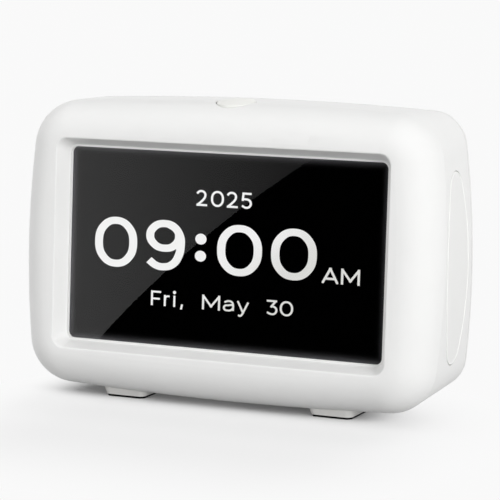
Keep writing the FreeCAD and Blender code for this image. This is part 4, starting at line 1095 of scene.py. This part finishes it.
    def _ribbon(self, drawing: Mesh, centre: list[Vector], pen: Vector, closed: bool) -> None:
        """Draw a flat ribbon of the pen's width along a centre line.

        Args:
            drawing: Drawing that gets the ribbon.
            centre: Points along the line.
            pen: Pen's width across and up.
            closed: Whether the last point is the first again.
        """
        edge = None
        for step, point in enumerate(centre):
            before = centre[step - 1] if step else (centre[-2] if closed else point)
            after = centre[step + 1] if step + 1 < len(centre) else (centre[1] if closed else point)
            along = Vector(((after.x - before.x) / pen.x, (after.y - before.y) / pen.y)).normalized()
            across = Vector((-along.y * pen.x, along.x * pen.y, 0.0)) / 2
            places = (point.to_3d() - across, point.to_3d() + across)
            if edge is None:
                edge = drawing.edges.new([drawing.verts.new(place) for place in places])
                continue
            old = edge.verts[0].co.copy(), edge.verts[1].co.copy()
            made = bmesh.ops.extrude_edge_only(drawing, edges=[edge])["geom"]
            fresh = [item for item in made if isinstance(item, bmesh.types.BMVert)]
            fresh.sort(key=lambda vertex: (vertex.co - old[0]).length)
            for vertex, place in zip(fresh, places):
                bmesh.ops.translate(drawing, verts=[vertex], vec=place - vertex.co)
            edge = drawing.edges.get(fresh)
        bmesh.ops.remove_doubles(drawing, verts=drawing.verts, dist=self.weld)
        bmesh.ops.recalc_face_normals(drawing, faces=drawing.faces)


# ---- Studio ----


@dataclass(frozen=True)
class Lamp:
    """Square soft lamp that points at the clock: its place, side and power in watts."""

    name: str
    place: tuple[float, float, float]
    side: float
    power: float


@dataclass(frozen=True)
class ShadowAndPaintedShadeZone:
    """Rectangle on the floor within which it shows its own shadow, fading out over its reaches; the mix with
    the glow also darkens it by the zone's shape, which is painted shade.
    """

    centre: Point
    half: Point
    reach: Point
    share: float


@dataclass
class Studio:
    """Pale floor and backdrop, soft lights, the camera and the cards that the glass mirrors."""

    yaw: float = math.radians(25.1993)
    elevation: float = math.radians(8.76669)
    distance: float = 1094.90 * MM
    aim: Point = (11.62 * MM, 1.14 * MM)
    focal_pixels: float = 2450.06
    frame_pixels: float = 500.0
    sensor: float = 36.0
    clip_start: float = 0.05
    floor_size: float = 40.0
    lamps: tuple[Lamp, ...] = (
        Lamp("front_right", (2.2, -1.3, 0.7), 1.4, 54.5),
        Lamp("front_left", (-1.4, -2.0, 0.6), 1.6, 16.0),
        Lamp("upper_left", (-1.5, -0.6, 1.8), 1.6, 19.3),
        Lamp("upper_right", (1.5, -0.6, 1.8), 1.6, 5.5),
        Lamp("overhead", (0.0, 0.0, 2.4), 2.0, 2.2),
        Lamp("rear", (0.0, 1.7, 1.6), 1.6, 7.0),
        Lamp("rear_low", (-0.4, 2.4, 0.4), 1.6, 26.0),
    )
    lamp_target: tuple[float, float, float] = (0.0, 0.0, 0.07)
    ambient: float = 0.25
    backdrop: float = 0.95
    floor_albedo: float = 0.75
    floor_bounce: float = 0.45
    floor_lift: float = 0.06
    floor_roughness: float = 0.9
    # Painted shade: these zones, set round and in front of the clock, darken the floor there beyond the
    # shadow that the lamps cast
    shadow_and_painted_shade_zones: tuple[ShadowAndPaintedShadeZone, ...] = (
        ShadowAndPaintedShadeZone((-0.012, -0.003), (0.062, 0.009), (0.034, 0.019), 0.75),
        ShadowAndPaintedShadeZone((0.0, -0.030), (0.078, 0.012), (0.03, 0.04), 0.16),
        ShadowAndPaintedShadeZone((0.008, -0.065), (0.05, 0.025), (0.08, 0.10), 0.36),
    )
    # The cards' edges are given where the glass shows them, in pixels of the view.
    flag_edge: tuple[Point, ...] = ((309.0, 161.0), (207.5, 235.0), (104.0, 333.0))
    flag_distance: float = 0.4
    flag_depth: float = 0.35
    flag_segments: int = 256
    veil_corners: tuple[Point, ...] = ((50.0, 110.0), (345.0, 110.0), (50.0, 375.0))
    veil_fade: tuple[Point, Point] = ((80.0, 240.0), (292.0, 240.0))
    veil_level: float = 0.27
    veil_distance: float = 0.55

    def build(self) -> None:
        """Set up the camera, floor, world and lamps, then the cards, which need the camera."""
        self._camera()
        self._floor()
        self._world()
        for lamp in self.lamps:
            self._hang(lamp)
        self._flag()
        self._veil()
        bpy.context.scene.view_settings.view_transform = "Standard"

    def _camera(self) -> None:
        """Put the camera on its line of sight."""
        right = Vector((math.cos(self.yaw), math.sin(self.yaw), 0.0))
        level = Vector((-math.sin(self.yaw), math.cos(self.yaw), 0.0)) * math.cos(self.elevation)
        forward = level - Vector((0.0, 0.0, math.sin(self.elevation)))
        up = right.cross(forward)
        target = FACE.window_middle() + right * self.aim[0] + up * self.aim[1]
        data = bpy.data.cameras.new("view")
        data.sensor_width = self.sensor
        data.lens = self.focal_pixels / self.frame_pixels * self.sensor
        data.clip_start = self.clip_start
        camera = bpy.data.objects.new("view", data)
        camera.matrix_world = turned(right, up, target - forward * self.distance)
        bpy.context.scene.collection.objects.link(camera)
        bpy.context.scene.camera = camera

    def _hang(self, lamp: Lamp) -> None:
        """Hang a lamp and turn it to the clock.

        Args:
            lamp: The lamp.
        """
        data = bpy.data.lights.new(lamp.name, "AREA")
        data.shape = "SQUARE"
        data.size = lamp.side
        data.energy = lamp.power
        holder = bpy.data.objects.new(lamp.name, data)
        holder.visible_glossy = False
        holder.location = lamp.place
        aim = Vector(self.lamp_target) - holder.location
        holder.rotation_euler = aim.to_track_quat("-Z", "Y").to_euler()
        bpy.context.scene.collection.objects.link(holder)

    def _floor(self) -> None:
        """Lay a pale matt floor that keeps the clock's shadow and runs out into the backdrop; its zones also
        paint shade round and in front of the clock.
        """
        nodes = SurfaceNodes("floor_paper")
        share = 0.0
        for zone in self.shadow_and_painted_shade_zones:
            share = nodes.math("ADD", self._shade_share_of(nodes, zone), share, use_clamp=True)
        seen = nodes.seen()
        # Inside the zones the floor mixes its real shadow with a dimmer glow, which paints shade by the
        # zones' shape
        shown = nodes.math("MULTIPLY", share, self.floor_albedo)
        albedo = nodes.add("Mix", {"Factor": seen, "A": self.floor_bounce, "B": shown}).outputs["Result"]
        glow = nodes.math("MULTIPLY", nodes.ramp(share, self.backdrop, self.floor_lift), seen)
        nodes.set(Base_Color=albedo, Roughness=self.floor_roughness, Specular_IOR_Level=0.0,
                  Emission_Color=WHITE, Emission_Strength=glow)
        finished_piece("floor", grid(self.floor_size, self.floor_size), nodes.material)

    def _shade_share_of(self, nodes: SurfaceNodes, zone: ShadowAndPaintedShadeZone) -> Socket:
        """How much of the floor's own shadow, and of the painted shade, shows for one zone.

        Args:
            nodes: The floor's nodes.
            zone: The zone.

        Returns:
            Output from the zone's share down to nothing.
        """
        place = nodes.add("Mapping", {"Vector": nodes.coordinates, "Location": (*zone.centre, 0.0)},
                          vector_type="TEXTURE").outputs["Vector"]
        past = nodes.vector("SUBTRACT", nodes.vector("ABSOLUTE", place), (*zone.half, 0.0))
        outside = nodes.vector("MAXIMUM", past, (0.0, 0.0, 0.0))
        gap = nodes.vector("LENGTH", nodes.vector("DIVIDE", outside, (*zone.reach, 1.0)))
        return nodes.ramp(gap, zone.share, 0.0, shape="SMOOTHSTEP")

    def _world(self) -> None:
        """White where it is seen, directly or mirrored, and a softer grey as light."""
        world = bpy.data.worlds.new("studio")
        world.use_nodes = True
        nodes = NodeGraph(world.node_tree)
        background = world.node_tree.nodes["Background"]
        nodes.feed(background.inputs["Color"], WHITE)
        nodes.feed(background.inputs["Strength"], nodes.ramp(nodes.seen(), self.ambient, self.backdrop))
        bpy.context.scene.world = world

    def _flag(self) -> None:
        """Black card with a bowed edge, which darkens half of the screen."""
        start, middle, end = (self._mirrored(place, self.flag_distance) for place in self.flag_edge)
        along = (end - start).normalized()
        bow = (middle - start) - along * (middle - start).dot(along)
        half = (end - start).length / 2
        radius = (half ** 2 + bow.length ** 2) / (2 * bow.length)
        outward = bow.normalized()
        mesh = bmesh.new()
        bmesh.ops.create_circle(mesh, cap_ends=True, segments=self.flag_segments, radius=radius)
        bmesh.ops.bisect_plane(mesh, geom=mesh.verts[:] + mesh.edges[:] + mesh.faces[:], clear_inner=True,
                               plane_co=(0.0, radius - self.flag_depth, 0.0), plane_no=(0.0, 1.0, 0.0))
        centre = (start + end) / 2 + outward * (bow.length - radius)
        self._card("black_flag", mesh, SurfaceNodes("flag_black"), turned(along, outward, centre))

    def _veil(self) -> None:
        """White card behind the flag that grows dimmer to one side."""
        corner, across, down = (self._mirrored(place, self.veil_distance) for place in self.veil_corners)
        start, end = (self._mirrored(place, self.veil_distance) for place in self.veil_fade)
        along = (end - start).normalized()
        nodes = SurfaceNodes("veil_white")
        run = nodes.vector("DOT_PRODUCT", nodes.coordinates, along)
        nodes.set(Emission_Color=WHITE, Emission_Strength=nodes.ramp(
            run, self.backdrop, self.veil_level, span=(start.dot(along), end.dot(along))))
        wide, tall = across - corner, down - corner
        self._card("white_veil", grid(1.0, 1.0), nodes, turned(wide, tall, corner + (wide + tall) / 2))

    def _card(self, name: str, mesh: Mesh, nodes: SurfaceNodes, place: Matrix) -> None:
        """Stand a card before the lens that only mirrored rays meet.

        Args:
            name: Its name.
            mesh: It, flat round the origin; it is freed.
            nodes: Its nodes, which get a dead black base.
            place: Where it stands.
        """
        nodes.set(Base_Color=BLACK, Roughness=1.0, Specular_IOR_Level=0.0)
        card = finished_piece(name, mesh, nodes.material)
        card.data.transform(place)
        card.visible_camera = False
        card.visible_diffuse = False
        card.visible_shadow = False
        card.visible_transmission = False

    def _mirrored(self, place: Point, distance: float) -> Vector:
        """Point that the lens mirrors at a place in the view.

        Args:
            place: Distance from the left and from the top of the view, in its pixels.
            distance: How far the point is from the lens.

        Returns:
            The point in the frame's axes.
        """
        view = bpy.context.scene.camera.matrix_world
        eye = view.translation
        across, down = (value - self.frame_pixels / 2 for value in place)
        ray = (view.to_3x3() @ Vector((across, -down, -self.focal_pixels))).normalized()
        normal = -FACE.inward()
        hit = eye + ray * ((FACE.window_middle() - eye).dot(normal) / ray.dot(normal))
        return hit + (ray - 2 * ray.dot(normal) * normal) * distance


def main() -> None:
    """Light the studio, then dress the clock and report each piece."""
    logging.basicConfig(level=logging.INFO, format="%(name)s: %(message)s")
    finishes = built_finishes()
    Studio().build()
    for kind in (CaseShell, SidePanels, DisplayWindow, SnoozeKey, Feet, RearControls, Speaker, MainBoard,
                 CaseScrews):
        kind(finishes).build()


if __name__ == "__main__":
    main()
